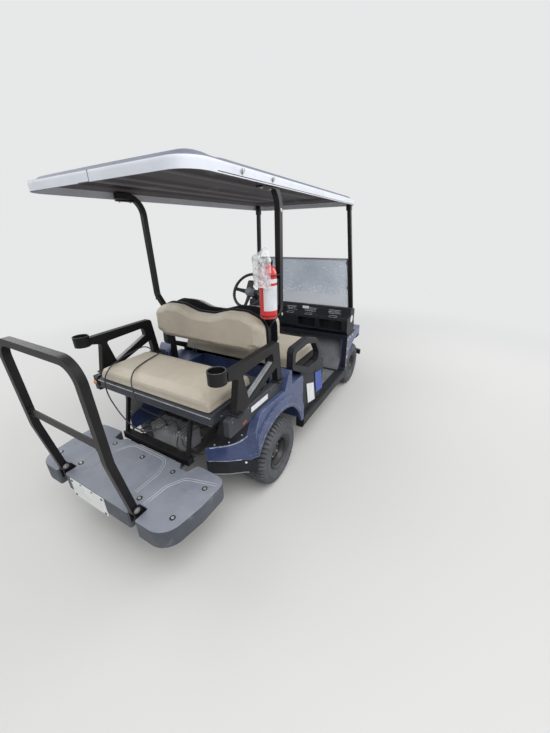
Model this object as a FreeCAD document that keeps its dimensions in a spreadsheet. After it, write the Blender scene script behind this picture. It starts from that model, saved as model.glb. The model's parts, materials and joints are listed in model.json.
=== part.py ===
import FreeCAD, Part
import math
import os

import Sketcher

# Four-seat golf cart with a rear-facing seat, a folding grab bar and a moulded footboard.
# Millimetres, +X to the front, +Y to the left, +Z up, floor at z = 0.
# Places along X are given from the rear axle. rear_axle_x moves the whole cart so that its
# bounding box is centred on the origin.

os.makedirs("parts", exist_ok=True)
doc = FreeCAD.newDocument("golf_cart")
Vector = FreeCAD.Vector

# Driving sizes: alias, value
SIZES = [
    ("wheel_base", 1700),
    ("nose_reach", 2110),
    ("bar_reach", 957),
    # wheels
    ("tyre_radius", 228.6),
    ("tyre_width", 205),
    ("rear_wheel_y", 495),
    ("front_wheel_y", 467),
    ("crown_half", 66),
    ("bead_radius", 101.6),
    ("flange_radius", 116),
    ("rim_width", 184),
    ("rim_wall", 4),
    ("well_radius", 86),
    ("bead_seat", 24),
    ("disc_offset", 26),
    ("disc_thick", 6),
    ("hub_radius", 38),
    ("hub_inner_end", 60),
    ("bore_bottom", 20),
    ("spindle_radius", 12.5),
    ("spindle_end", 10),
    ("cap_radius", 22),
    ("cap_length", 18),
    ("drum_radius", 74),
    ("drum_inner_end", 70),
    ("drum_outer_end", 30),
    # clearances
    ("shaft_gap", 0.05),
    ("seat_gap", 0.3),
    # frame rails
    ("rail_y", 190),
    ("rail_width", 40),
    ("rail_height", 50),
    ("rail_bend", 60),
    ("rail_tail_x", -430),
    ("rail_nose_x", 1990),
    ("rail_tail_z", 330),
    ("rail_mid_z", 235),
    ("rail_nose_z", 310),
    ("tail_kick_start", 300),
    ("tail_kick_end", 400),
    ("nose_kick_start", 1300),
    ("nose_kick_end", 1400),
    # springs and axles
    ("leaf_width", 45),
    ("leaf_thick", 7),
    ("rear_leaf_half", 265),
    ("front_leaf_half", 270),
    ("beam_height", 44),
    ("beam_depth", 44),
    ("beam_half", 330),
    ("kingpin_y", 350),
    ("kingpin_radius", 9),
    ("boss_radius", 20),
    ("boss_half", 30),
    ("neck_width", 24),
    ("ear_gap", 3),
    ("ear_thick", 16),
    ("ear_half", 22),
    ("web_gap", 2),
    ("web_thick", 12),
    ("collar_radius", 26),
    ("arm_length", 110),
    ("arm_width", 16),
    ("link_pin_radius", 6),
    ("link_eye_radius", 14),
    ("link_rod_radius", 6.5),
    ("link_height", 16),
    ("link_lift", 4),
    ("axle_tube_radius", 34),
    ("axle_end_y", 412),
    ("back_plate_radius", 78),
    ("back_plate_thick", 5),
    ("diff_radius", 92),
    ("motor_y", 45),
    ("motor_radius", 84),
    ("motor_start", 112),
    ("motor_length", 190),
    ("motor_neck_radius", 58),
    # floor and sills
    ("floor_tail_x", 430),
    ("floor_half", 540),
    ("floor_thick", 15),
    ("floor_top_z", 300),
    ("toe_start_x", 1290),
    ("toe_top_x", 1490),
    ("toe_top_z", 612),
    ("mat_tail_x", 795),
    ("mat_nose_x", 1250),
    ("mat_thick", 8),
    ("mat_half", 520),
    ("mat_rib", 4),
    ("mat_rib_width", 14),
    ("body_seam_x", 345),
    ("sill_nose_x", 1334),
    ("sill_outer_y", 606),
    ("sill_low_z", 215),
    # battery bay and front seat
    ("battery_tail_x", 436),
    ("battery_length", 290),
    ("battery_half", 330),
    ("battery_height", 255),
    ("pod_wall", 6),
    ("pod_half", 551),
    ("pod_foot_x", 745),
    ("pod_top_x", 790),
    ("pod_top_z", 690),
    ("pod_lip", 25),
    ("lid_hinge_x", 318),
    ("lid_hinge_radius", 6),
    ("lid_hinge_y", 400),
    ("lid_barrel", 25),
    ("lid_pin_radius", 3),
    ("lid_thick", 12),
    ("front_cushion_x", 300),
    ("front_cushion_length", 490),
    ("front_cushion_half", 500),
    ("front_cushion_height", 100),
    # rear body
    ("body_half", 603),
    ("body_tail_x", -425),
    ("body_wall", 5),
    ("flare_depth", 12),
    ("flare_radius", 395),
    ("ledge_z", 665),
    ("ledge_tail_x", -225),
    ("tail_dip_x", -315),
    ("tail_dip_z", 500),
    ("tail_top_z", 465),
    ("tail_foot_z", 365),
    ("guard_low_z", 270),
    ("arch_radius", 320),
    ("body_inner_y", 335),
    ("bulkhead_low_z", 400),
    # hip restraints
    ("hip_thick", 46),
    ("hip_panel_thick", 20),
    ("hip_front_x", 800),
    # rear seat
    ("tray_nose_x", 0),
    ("tray_tail_x", -492),
    ("tray_half", 470),
    ("tray_low_z", 700),
    ("tray_top_z", 757),
    ("tray_lip", 16),
    ("rear_cushion_x", -485),
    ("rear_cushion_length", 390),
    ("rear_cushion_half", 455),
    ("rear_cushion_height", 83),
    ("kit_panel_inner_y", 530),
    ("kit_panel_outer_y", 565),
    ("kit_panel_top_z", 745),
    ("rear_back_x", 0),
    ("back_cushion_depth", 84),
    ("back_shell_depth", 7),
    ("front_back_x", 197),
    ("back_bar_radius", 14),
    ("back_bar_z", 1010),
    ("back_plate_y", 300),
    # armrests
    ("armrest_inner_y", 535),
    ("armrest_outer_y", 575),
    ("cup_x", -490),
    ("cup_radius", 46),
    ("cup_rim_z", 1030),
    ("cup_depth", 65),
    # footboard
    ("deck_tube", 40),
    ("deck_tube_y", 200),
    ("deck_tail_x", -880),
    ("deck_tube_low_z", 345),
    ("cross_bar", 45),
    ("cross_bar_x", -500),
    ("cross_bar_half", 285),
    ("deck_top_z", 400),
    ("deck_skirt_z", 300),
    ("deck_wall", 6),
    ("deck_front_x", -535),
    ("deck_bump_x", -505),
    ("deck_rear_x", -905),
    ("deck_lobe_x", -915),
    ("deck_half", 552),
    ("groove_depth", 5),
    # grab bar
    ("bar_hinge_x", -885),
    ("bar_hinge_y", 300),
    ("bar_hinge_z", 433),
    ("bar_tube", 34),
    ("bar_wall", 3),
    ("bar_bend_x", -932),
    ("bar_bend_z", 735),
    ("bar_top_x", -940),
    ("bar_top_z", 1190),
    ("bar_corner", 90),
    ("bar_rail_z", 814),
    ("bar_rail_height", 40),
    ("bar_rail_depth", 8),
    ("bar_pin_radius", 6),
    ("bar_ear_thick", 6),
    ("bar_ear_gap", 1),
    # hitch
    ("hitch_size", 64),
    ("hitch_bore", 51),
    ("hitch_length", 110),
    ("hitch_drop", 26),
    ("hitch_pin_radius", 8),
    ("hitch_pin_x", -835),
    # front body
    ("cowl_half", 600),
    ("cowl_wall", 6),
    ("cowl_tail_x", 1345),
    ("cowl_nose_x", 2092),
    ("cowl_low_z", 300),
    ("cowl_ledge_z", 640),
    ("hood_half", 470),
    ("hood_top_z", 790),
    ("front_arch_radius", 345),
    ("bumper_low_z", 250),
    ("bumper_depth", 74),
    ("lamp_inner_y", 300),
    ("lamp_outer_y", 450),
    ("lamp_low_z", 480),
    ("lamp_height", 80),
    ("dash_half", 590),
    ("dash_tail_x", 1330),
    ("dash_nose_x", 1550),
    ("dash_top_z", 905),
    # steering
    ("wheel_x", 965),
    ("wheel_y", 270),
    ("wheel_z", 1095),
    ("wheel_radius", 165),
    ("wheel_rim_radius", 14),
    ("wheel_hub_radius", 48),
    ("column_angle", 34),
    ("column_radius", 24),
    # roof
    ("roof_low_z", 1800),
    ("roof_skirt", 48),
    ("roof_crown", 32),
    ("roof_wall", 8),
    ("roof_rib", 14),
    ("roof_tail_x", -550),
    ("roof_nose_x", 1610),
    ("roof_tail_half", 575),
    ("roof_nose_half", 505),
    ("roof_tail_corner", 110),
    ("roof_nose_corner", 80),
    ("strut_width", 32),
    ("rear_strut_x", 125),
    ("rear_strut_y", 528),
    ("rear_strut_bend", 110),
    # windshield
    ("pane_thick", 5),
    # small fittings
    ("bottle_radius", 50),
    ("bottle_x", 54),
    ("bottle_y", -495),
    ("bottle_low_z", 1136),
    ("bottle_height", 290),
    ("cord_radius", 4),
]

sheet = doc.addObject("Spreadsheet::Sheet", "Sizes")


class Size:
    """A length with its number and the sheet formula that gives it."""

    def __init__(self, value, formula):
        self.value = float(value)
        self.formula = formula

    def __float__(self):
        return self.value

    def __add__(self, other):
        return Size(self.value + float(other), f"({self.formula} + {formula_of(other)})")

    def __radd__(self, other):
        return Size(float(other) + self.value, f"({formula_of(other)} + {self.formula})")

    def __sub__(self, other):
        return Size(self.value - float(other), f"({self.formula} - {formula_of(other)})")

    def __rsub__(self, other):
        return Size(float(other) - self.value, f"({formula_of(other)} - {self.formula})")

    def __mul__(self, other):
        return Size(self.value * float(other), f"({self.formula} * {formula_of(other)})")

    def __rmul__(self, other):
        return Size(float(other) * self.value, f"({formula_of(other)} * {self.formula})")

    def __truediv__(self, other):
        return Size(self.value / float(other), f"({self.formula} / {formula_of(other)})")

    def __neg__(self):
        return Size(-self.value, f"(0 - {self.formula})")


def formula_of(number):
    return number.formula if isinstance(number, Size) else repr(float(number))


class Names:
    pass


size = Names()
for row, (alias, value) in enumerate(SIZES, start=1):
    cell = f"B{row}"
    sheet.set(f"A{row}", alias)
    sheet.set(cell, str(value))
    sheet.setAlias(cell, alias)
    setattr(size, alias, Size(value, f"Sizes.{alias}"))
doc.recompute()


def bind(item, name, value):
    item.setExpression(name, formula_of(value))


size.rear_axle_x = (size.bar_reach - size.nose_reach) / 2


def place(item, x=0, y=0, z=0):
    for axis, value in zip("xyz", (x, y, z)):
        bind(item, f"Placement.Base.{axis}", value)


def new_body(label, x=0, y=0, z=0):
    body = doc.addObject("PartDesign::Body", label)
    body.Label = label
    place(body, size.rear_axle_x + x, y, z)
    return body


def new_sketch(body, plane, offset=0):
    sketch = body.newObject("Sketcher::SketchObject", f"{body.Name}_{plane[:2]}")
    support = [item for item in body.Origin.OriginFeatures if item.Role == plane][0]
    sketch.AttachmentSupport = [(support, "")]
    sketch.MapMode = "FlatFace"
    bind(sketch, "AttachmentOffset.Base.z", offset)
    return sketch


def fix_point(sketch, geometry, end, x, y):
    for kind, value in (("DistanceX", x), ("DistanceY", y)):
        index = sketch.addConstraint(Sketcher.Constraint(kind, -1, 1, geometry, end, float(value)))
        bind(sketch, f"Constraints[{index}]", value)


def add_outline(sketch, corners):
    """Close a loop through corners (x, y) or (x, y, radius); a radius rounds that corner."""
    places = [Vector(float(corner[0]), float(corner[1]), 0) for corner in corners]
    count = len(corners)
    starts = []
    ends = []
    for index, corner in enumerate(corners):
        here = places[index]
        if len(corner) == 2:
            starts.append(here)
            ends.append(here)
            continue
        back = (places[index - 1] - here).normalize()
        ahead = (places[(index + 1) % count] - here).normalize()
        turn = back.getAngle(ahead)
        reach = float(corner[2]) / math.tan(turn / 2)
        ends.append(here + back * reach)
        starts.append(here + ahead * reach)
    lines = []
    for index in range(count):
        following = (index + 1) % count
        lines.append(sketch.addGeometry(Part.LineSegment(starts[index], ends[following])))
    for index, corner in enumerate(corners):
        before = lines[index - 1]
        after = lines[index]
        if len(corner) == 2:
            sketch.addConstraint(Sketcher.Constraint("Coincident", before, 2, after, 1))
            fix_point(sketch, after, 1, corner[0], corner[1])
            continue
        here = places[index]
        radius = float(corner[2])
        middle = ((ends[index] + starts[index]) * 0.5 - here).normalize()
        centre = here + middle * math.hypot(radius, (ends[index] - here).Length)
        left_turn = (here - ends[index]).cross(starts[index] - here).z > 0
        first, last = (1, 2) if left_turn else (2, 1)
        sweep = [ends[index] - centre, starts[index] - centre]
        angles = [math.atan2(spoke.y, spoke.x) for spoke in (sweep if left_turn else reversed(sweep))]
        if angles[1] < angles[0]:
            angles[1] += 2 * math.pi
        circle = Part.Circle(centre, Vector(0, 0, 1), radius)
        arc = sketch.addGeometry(Part.ArcOfCircle(circle, angles[0], angles[1]))
        sketch.addConstraint(Sketcher.Constraint("Tangent", before, 2, arc, first))
        sketch.addConstraint(Sketcher.Constraint("Tangent", arc, last, after, 1))
        bound = sketch.addConstraint(Sketcher.Constraint("Radius", arc, radius))
        bind(sketch, f"Constraints[{bound}]", corner[2])
        mark = sketch.addGeometry(Part.Point(here), True)
        fix_point(sketch, mark, 1, corner[0], corner[1])
        sketch.addConstraint(Sketcher.Constraint("PointOnObject", mark, 1, before))
        sketch.addConstraint(Sketcher.Constraint("PointOnObject", mark, 1, after))


def add_circle(sketch, x, y, radius):
    circle = sketch.addGeometry(Part.Circle(Vector(float(x), float(y), 0), Vector(0, 0, 1), float(radius)))
    fix_point(sketch, circle, 3, x, y)
    bound = sketch.addConstraint(Sketcher.Constraint("Radius", circle, float(radius)))
    bind(sketch, f"Constraints[{bound}]", radius)


def outline_sketch(body, plane, outlines, offset=0, circles=()):
    sketch = new_sketch(body, plane, offset)
    for corners in outlines:
        add_outline(sketch, corners)
    for x, y, radius in circles:
        add_circle(sketch, x, y, radius)
    return sketch


def pad(body, sketch, length, symmetric=False, reverse=False, taper=0):
    feature = body.newObject("PartDesign::Pad", f"{body.Name}_pad")
    feature.Profile = sketch
    bind(feature, "Length", length)
    feature.SideType = "Symmetric" if symmetric else "One side"
    feature.Reversed = reverse
    feature.TaperAngle = taper
    sketch.Visibility = False
    return feature


def pocket(body, sketch, length, symmetric=False, reverse=False, taper=0):
    feature = body.newObject("PartDesign::Pocket", f"{body.Name}_pocket")
    feature.Profile = sketch
    bind(feature, "Length", length)
    feature.SideType = "Symmetric" if symmetric else "One side"
    feature.Reversed = reverse
    feature.TaperAngle = taper
    return feature


# Plates are drawn on the middle plane of the body, between two places along the third axis
PLATE_PLANES = {"side": ("XZ_Plane", -1), "flat": ("XY_Plane", 1), "cross": ("YZ_Plane", 1)}


def plate(body, kind, outlines, low, high, circles=()):
    plane, sense = PLATE_PLANES[kind]
    sketch = outline_sketch(body, plane, outlines, (low + high) * (sense / 2), circles)
    return pad(body, sketch, high - low, symmetric=True)


def cut(body, kind, outlines, low, high, circles=()):
    plane, sense = PLATE_PLANES[kind]
    sketch = outline_sketch(body, plane, outlines, (low + high) * (sense / 2), circles)
    return pocket(body, sketch, high - low, symmetric=True)


def turned(body, outline, plane="YZ_Plane"):
    sketch = outline_sketch(body, plane, [outline])
    feature = body.newObject("PartDesign::Revolution", f"{body.Name}_turned")
    feature.Profile = sketch
    feature.ReferenceAxis = (sketch, ["H_Axis"])
    feature.Angle = 360
    return feature


def box_outline(low_x, high_x, low_y, high_y, *radius):
    return [(low_x, low_y, *radius), (high_x, low_y, *radius), (high_x, high_y, *radius),
            (low_x, high_y, *radius)]


def mirrored(half):
    """Close a half outline given with +Y places by its mirror image."""
    return half + [(x, -y, *rest) for x, y, *rest in reversed(half)]


def span(side, near, far):
    return (near, far) if side > 0 else (-far, -near)


# Free shapes, for pieces that follow a path or an arc in space
def run_wire(points, radii):
    """Straight runs joined by tangent arcs, one radius for each inner point."""
    edges = []
    last = points[0]
    for index, radius in enumerate(radii, start=1):
        here = points[index]
        back = (points[index - 1] - here).normalize()
        ahead = (points[index + 1] - here).normalize()
        reach = radius / math.tan(back.getAngle(ahead) / 2)
        enter = here + back * reach
        leave = here + ahead * reach
        middle = (back + ahead).normalize()
        centre = here + middle * math.hypot(radius, reach)
        edges.append(Part.LineSegment(last, enter).toShape())
        edges.append(Part.Arc(enter, centre - middle * radius, leave).toShape())
        last = leave
    edges.append(Part.LineSegment(last, points[-1]).toShape())
    return Part.Wire(edges)


def ring_at(start, ahead, radius):
    return Part.Wire([Part.Circle(start, ahead, radius).toShape()])


def square_at(start, ahead, across, width, height):
    """A rectangle around start, its width along across and its height square to both."""
    upward = ahead.cross(across).normalize()
    corners = []
    for wide, tall in ((-1, -1), (1, -1), (1, 1), (-1, 1)):
        corners.append(start + across * (wide * width / 2) + upward * (tall * height / 2))
    return Part.makePolygon(corners + corners[:1])


def swept(path, section):
    return path.makePipeShell([section], True, False, 2)


def rod(start, end, radius):
    return Part.makeCylinder(radius, (end - start).Length, start, end - start)


def block(low, high):
    corner = Vector(*(float(value) for value in low))
    length, width, height = (float(top) - float(bottom) for bottom, top in zip(low, high))
    return Part.makeBox(length, width, height, corner)


def free_piece(label, shape):
    item = doc.addObject("Part::Feature", label)
    item.Label = label
    item.Shape = shape
    place(item, size.rear_axle_x)
    return item


def at(x, y, z):
    return Vector(float(x), float(y), float(z))


def combined(kind, label, base, tool):
    item = doc.addObject(f"Part::{kind}", label)
    item.Label = label
    item.Base = base
    item.Tool = tool
    return item


SIDES = (("left", 1), ("right", -1))

# Frame: two rails with kick-ups over both axles, tied by cross members
# window tail x, window nose x
FRAME_WINDOWS = [(-385, -20), (25, 430), (475, 900), (945, 1420), (1465, 1945)]


def chassis_frame():
    body = new_body("chassis_frame")
    under = [
        (size.rail_tail_x, size.rail_tail_z),
        (size.tail_kick_start, size.rail_tail_z, size.rail_bend),
        (size.tail_kick_end, size.rail_mid_z, size.rail_bend),
        (size.nose_kick_start, size.rail_mid_z, size.rail_bend),
        (size.nose_kick_end, size.rail_nose_z, size.rail_bend),
        (size.rail_nose_x, size.rail_nose_z),
    ]
    over = [(x, z + size.rail_height, *rest) for x, z, *rest in reversed(under)]
    outer = size.rail_y + size.rail_width / 2
    inner = size.rail_y - size.rail_width / 2
    plate(body, "side", [under + over], -outer, outer)
    windows = [box_outline(tail, nose, -inner, inner) for tail, nose in FRAME_WINDOWS]
    cut(body, "flat", windows, size.rail_mid_z - size.rail_height, size.rail_tail_z + 2 * size.rail_height)
    return body


def leaf_springs():
    # axle x, half length, seat height, rail height
    springs = [
        (0, size.rear_leaf_half, size.tyre_radius + size.axle_tube_radius, size.rail_tail_z),
        (size.wheel_base, size.front_leaf_half, size.tyre_radius + size.beam_height / 2, size.rail_nose_z),
    ]
    leaves = []
    for axle_x, half, seat, ceiling in springs:
        low = seat + size.seat_gap
        top = ceiling - size.seat_gap
        rise = top - low - 3 * size.leaf_thick
        for side in (1, -1):
            stack = None
            for order, share in enumerate((0.45, 0.75, 1)):
                reach = half * share
                floor = low + order * size.leaf_thick
                lift = rise * (share * share)
                ends = [at(axle_x + sign * reach, 0, floor + lift) for sign in (-1, 1)]
                crest = [end + at(0, 0, size.leaf_thick) for end in ends]
                edges = [
                    Part.Arc(ends[0], at(axle_x, 0, floor), ends[1]).toShape(),
                    Part.LineSegment(ends[1], crest[1]).toShape(),
                    Part.Arc(crest[1], at(axle_x, 0, floor + size.leaf_thick), crest[0]).toShape(),
                    Part.LineSegment(crest[0], ends[0]).toShape(),
                ]
                leaf = Part.Face(Part.Wire(edges)).extrude(at(0, size.leaf_width, 0))
                stack = leaf if stack is None else stack.fuse(leaf)
            stack.translate(at(0, side * size.rail_y - size.leaf_width / 2, 0))
            leaves.append(stack)
    return free_piece("leaf_springs", Part.makeCompound(leaves))


def rear_axle():
    body = new_body("rear_axle", 0, 0, size.tyre_radius)
    end = size.axle_end_y
    plate_end = end + size.back_plate_thick
    tip = size.rear_wheel_y + size.spindle_end
    tube = size.axle_tube_radius
    turned(body, [
        (-tip, 0), (-tip, size.spindle_radius), (-plate_end, size.spindle_radius),
        (-plate_end, size.back_plate_radius), (-end, size.back_plate_radius), (-end, tube),
        (size.motor_y - 100, tube, 20), (size.motor_y - 55, size.diff_radius, 30),
        (size.motor_y + 55, size.diff_radius, 30), (size.motor_y + 100, tube, 20),
        (end, tube), (end, size.back_plate_radius), (plate_end, size.back_plate_radius),
        (plate_end, size.spindle_radius), (tip, size.spindle_radius), (tip, 0),
    ])
    plate(body, "cross", [], size.axle_tube_radius, size.motor_start,
          circles=[(size.motor_y, 0, size.motor_neck_radius)])
    return body


def drive_motor():
    body = new_body("drive_motor", size.motor_start, size.motor_y, size.tyre_radius)
    cap = size.motor_radius - 6
    turned(body, [
        (0, 0), (0, cap), (20, cap), (24, size.motor_radius), (size.motor_length - 24, size.motor_radius),
        (size.motor_length - 20, cap), (size.motor_length, cap, 6), (size.motor_length, 0),
    ], "XZ_Plane")
    return body


def front_axle():
    body = new_body("front_axle", size.wheel_base, 0, size.tyre_radius)
    deep = size.beam_depth / 2
    tall = size.beam_height / 2
    plate(body, "flat", [box_outline(-deep, deep, -size.beam_half, size.beam_half)], -tall, tall)
    neck = size.neck_width / 2
    for side in (1, -1):
        near, far = span(side, size.beam_half - 5, size.kingpin_y)
        plate(body, "flat", [box_outline(-neck, neck, near, far)], -tall, tall)
        plate(body, "flat", [], -size.boss_half, size.boss_half,
              circles=[(0, side * size.kingpin_y, size.boss_radius)])
    for side in (1, -1):
        cut(body, "flat", [], -size.boss_half, size.boss_half,
            circles=[(0, side * size.kingpin_y, size.kingpin_radius + size.shaft_gap)])
    return body


def knuckle(word, side):
    body = new_body(f"knuckle_{word}", size.wheel_base, side * size.kingpin_y, size.tyre_radius)
    inner = size.boss_half + size.ear_gap
    outer = inner + size.ear_thick
    web = size.boss_radius + size.web_gap
    plate(body, "flat", [], -outer, outer, circles=[(0, 0, size.kingpin_radius)])
    near, far = span(side, -size.boss_radius, web + size.web_thick)
    for low, high in ((inner, outer), (-outer, -inner)):
        plate(body, "flat", [box_outline(-size.ear_half, size.ear_half, near, far)], low, high)
    near, far = span(side, web, web + size.web_thick)
    plate(body, "flat", [box_outline(-size.ear_half, size.ear_half, near, far)], -outer, outer)
    start = web + size.web_thick
    shoulder = start + size.boss_radius
    tip = size.front_wheel_y - size.kingpin_y + size.spindle_end
    plate(body, "side", [], *span(side, start, shoulder), circles=[(0, 0, size.collar_radius)])
    plate(body, "side", [], *span(side, shoulder, tip), circles=[(0, 0, size.spindle_radius)])
    wide = size.arm_width / 2
    plate(body, "flat", [box_outline(-size.arm_length - 14, -size.ear_half, -wide, wide)], -outer, -inner)
    plate(body, "flat", [], -inner, -inner + size.link_lift + size.link_height + 6,
          circles=[(-size.arm_length, 0, size.link_pin_radius)])
    return body


def tie_rod():
    low = size.link_lift - size.boss_half - size.ear_gap
    body = new_body("tie_rod", size.wheel_base - size.arm_length, 0, size.tyre_radius + low)
    eyes = [(0, side * size.kingpin_y, size.link_eye_radius) for side in (1, -1)]
    reach = size.kingpin_y - size.link_eye_radius / 2
    plate(body, "side", [], -reach, reach, circles=[(0, size.link_height / 2, size.link_rod_radius)])
    plate(body, "flat", [], 0, size.link_height, circles=eyes)
    bores = [
        (0, size.kingpin_y, size.link_pin_radius + size.shaft_gap),
        (0, -size.kingpin_y, size.link_pin_radius + 10 * size.shaft_gap),
    ]
    cut(body, "flat", [], 0, size.link_height, circles=bores)
    return body


# Wheels: corner name, side, axle x, wheel y, has drum
WHEELS = [
    ("front_left", 1, size.wheel_base, size.front_wheel_y, False),
    ("front_right", -1, size.wheel_base, size.front_wheel_y, False),
    ("rear_left", 1, 0, size.rear_wheel_y, True),
    ("rear_right", -1, 0, size.rear_wheel_y, True),
]


def tyre(corner, side, axle_x, wheel_y):
    body = new_body(f"tyre_{corner}", axle_x, side * wheel_y, size.tyre_radius)
    half_width = size.tyre_width / 2
    half = [
        (half_width - 18.5, size.bead_radius + size.seat_gap),
        (half_width - 17, size.flange_radius + 3),
        (half_width - 4.5, size.flange_radius + 16),
        (half_width, size.tyre_radius - 68),
        (half_width - 4, size.tyre_radius - 28),
        (size.crown_half + 22, size.tyre_radius - 9),
        (size.crown_half, size.tyre_radius),
    ]
    turned(body, half + [(-wide, high, *rest) for wide, high, *rest in reversed(half)])
    return body


def rim(corner, side, axle_x, wheel_y, has_drum):
    body = new_body(f"rim_{corner}", axle_x, side * wheel_y, size.tyre_radius)
    half_width = size.rim_width / 2
    seat = half_width - size.bead_seat - size.rim_wall
    outer = [
        (half_width, size.flange_radius), (half_width - size.rim_wall, size.flange_radius),
        (half_width - size.rim_wall - 1, size.bead_radius), (seat, size.bead_radius),
        (seat - 16, size.well_radius),
    ]
    inner = [(wide + 2, high - size.rim_wall) for wide, high in outer[2:]]
    inner = [(half_width, size.flange_radius - size.rim_wall)] + inner
    loop = outer + [(-wide, high) for wide, high in reversed(outer)]
    loop += [(-wide, high) for wide, high in inner] + list(reversed(inner))
    turned(body, loop)
    disc = side * size.disc_offset
    disc_outer = side * (size.disc_offset + size.disc_thick)
    well = size.well_radius - 1
    plate(body, "side", [], *sorted((disc, disc_outer), key=float), circles=[(0, 0, well)])
    plate(body, "side", [], *span(side, -size.hub_inner_end, size.disc_offset),
          circles=[(0, 0, size.hub_radius)])
    plate(body, "side", [], *span(side, size.disc_offset, size.disc_offset + size.disc_thick + size.cap_length),
          circles=[(0, 0, size.cap_radius)])
    if has_drum:
        near, far = span(side, -size.drum_inner_end, -size.drum_outer_end)
        plate(body, "side", [], near, far, circles=[(0, 0, size.drum_radius)])
    bore_start = -size.drum_inner_end if has_drum else -size.hub_inner_end
    cut(body, "side", [], *span(side, bore_start, size.bore_bottom),
        circles=[(0, 0, size.spindle_radius + size.shaft_gap)])
    return body


def floor_pan():
    body = new_body("floor_pan")
    low = size.floor_top_z - size.floor_thick
    slant = size.floor_thick / 2
    plate(body, "side", [[
        (size.floor_tail_x, low), (size.toe_start_x + slant, low, 60),
        (size.toe_top_x + size.floor_thick + 2, size.toe_top_z), (size.toe_top_x, size.toe_top_z),
        (size.toe_start_x, size.floor_top_z, 50), (size.floor_tail_x, size.floor_top_z),
    ]], -size.floor_half, size.floor_half)
    return body


def floor_mat():
    body = new_body("floor_mat")
    low = size.floor_top_z
    top = low + size.mat_thick
    plate(body, "flat", [box_outline(size.mat_tail_x, size.mat_nose_x, -size.mat_half, size.mat_half)], low, top)
    ribs = []
    count = 12
    pitch = (2 * size.mat_half - 40) / count
    for index in range(count):
        middle = (index + 0.5) * pitch - size.mat_half + 20
        half = size.mat_rib_width / 2
        ribs.append(box_outline(size.mat_tail_x + 30, size.mat_nose_x - 30, middle - half, middle + half))
    plate(body, "flat", ribs, top, top + size.mat_rib)
    return body


def sills():
    body = new_body("sills")
    for side in (1, -1):
        inner = side * size.floor_half
        outer = side * size.sill_outer_y
        plate(body, "cross", [[
            (inner, size.sill_low_z), (outer - side * 12, size.sill_low_z, 10),
            (outer, size.sill_low_z + 26, 12), (outer, size.floor_top_z, 8), (inner, size.floor_top_z),
        ]], size.body_seam_x, size.sill_nose_x)
    return body


def battery_pack():
    body = new_body("battery_pack")
    nose = size.battery_tail_x + size.battery_length
    low = size.floor_top_z
    plate(body, "flat", [box_outline(size.battery_tail_x, nose, -size.battery_half, size.battery_half)],
          low, low + size.battery_height)
    return body


def seat_pod():
    body = new_body("seat_pod")
    tail = size.body_seam_x
    wall = size.pod_wall
    plate(body, "side", [[
        (tail, size.floor_top_z), (size.pod_foot_x, size.floor_top_z),
        (size.pod_top_x, size.pod_top_z), (tail, size.pod_top_z),
    ]], -size.pod_half, size.pod_half)
    cut(body, "side", [[
        (tail, size.floor_top_z), (size.pod_foot_x - wall, size.floor_top_z),
        (size.pod_top_x - wall, size.pod_top_z - wall), (tail, size.pod_top_z - wall),
    ]], wall - size.pod_half, size.pod_half - wall)
    lip = size.pod_lip
    cut(body, "flat", [box_outline(tail, size.pod_top_x - lip, lip - size.pod_half, size.pod_half - lip)],
        size.pod_top_z - wall, size.pod_top_z)
    return body


# Rear corner of the body in plan, from the inner wall round to the side: x, y, corner radius
TAIL_CORNER = [(-428, 331), (-405, 372, 40), (-366, 443, 120), (-300, 526, 120), (-266, 612)]


def tail_corner(side, inset):
    """The corner's line, moved inwards by a wall."""
    return [(x + 0.8 * inset, side * (y - 0.6 * inset), *rest) for x, y, *rest in TAIL_CORNER]


def cut_tail_corners(body, inset, low, high):
    tail = size.body_tail_x - 40
    for side in (1, -1):
        far = side * (size.body_half + 40)
        cut(body, "flat", [tail_corner(side, inset) + [(-260, far), (tail, far), (tail, side * 325)]], low, high)


def rear_blank():
    """Both rear quarters as solid blocks with their wheel flares, tied by a bulkhead."""
    body = new_body("rear_blank")
    low = size.floor_top_z
    foot = size.tail_foot_z
    tail = size.body_tail_x
    seam = size.body_seam_x
    panel = size.body_half - size.flare_depth
    outer = [
        (tail, foot), (-200, foot), (-150, low), (seam, low), (seam, size.ledge_z, 20),
        (size.ledge_tail_x, size.ledge_z, 60), (size.tail_dip_x, size.tail_dip_z, 80), (tail, size.tail_top_z),
    ]
    below = [(tail - 40, -250), (seam + 140, -250), (seam + 140, low), (-200, low), (-200, foot), (tail - 40, foot)]
    for side in (1, -1):
        plate(body, "side", [outer], *span(side, size.body_inner_y, panel))
        near, far = span(side, panel - size.body_wall, size.body_half)
        plate(body, "side", [], near, far, circles=[(0, size.tyre_radius, size.flare_radius)])
        cut(body, "side", [below, box_outline(seam, seam + 140, low, size.ledge_z + 100)], near, far)
    cut_tail_corners(body, 0, low, size.ledge_z + 10)
    plate(body, "cross", [box_outline(-size.body_inner_y, size.body_inner_y, size.bulkhead_low_z, size.ledge_z)],
          seam - size.body_wall, seam)
    # ears and pin of the seat lid's hinges
    ear = 5.5
    axis_z = size.pod_top_z + size.lid_hinge_radius
    for side in (1, -1):
        for low_y in (size.lid_hinge_y - 7, size.lid_hinge_y + size.lid_barrel + 1):
            near, far = span(side, low_y, low_y + 6)
            plate(body, "side", [box_outline(size.lid_hinge_x - ear, size.lid_hinge_x + ear, size.ledge_z, axis_z)],
                  near, far)
            plate(body, "side", [], near, far, circles=[(size.lid_hinge_x, axis_z, ear)])
        near, far = span(side, size.lid_hinge_y - 4, size.lid_hinge_y + size.lid_barrel + 4)
        plate(body, "side", [], near, far, circles=[(size.lid_hinge_x, axis_z, size.lid_pin_radius)])
    return body


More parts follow.
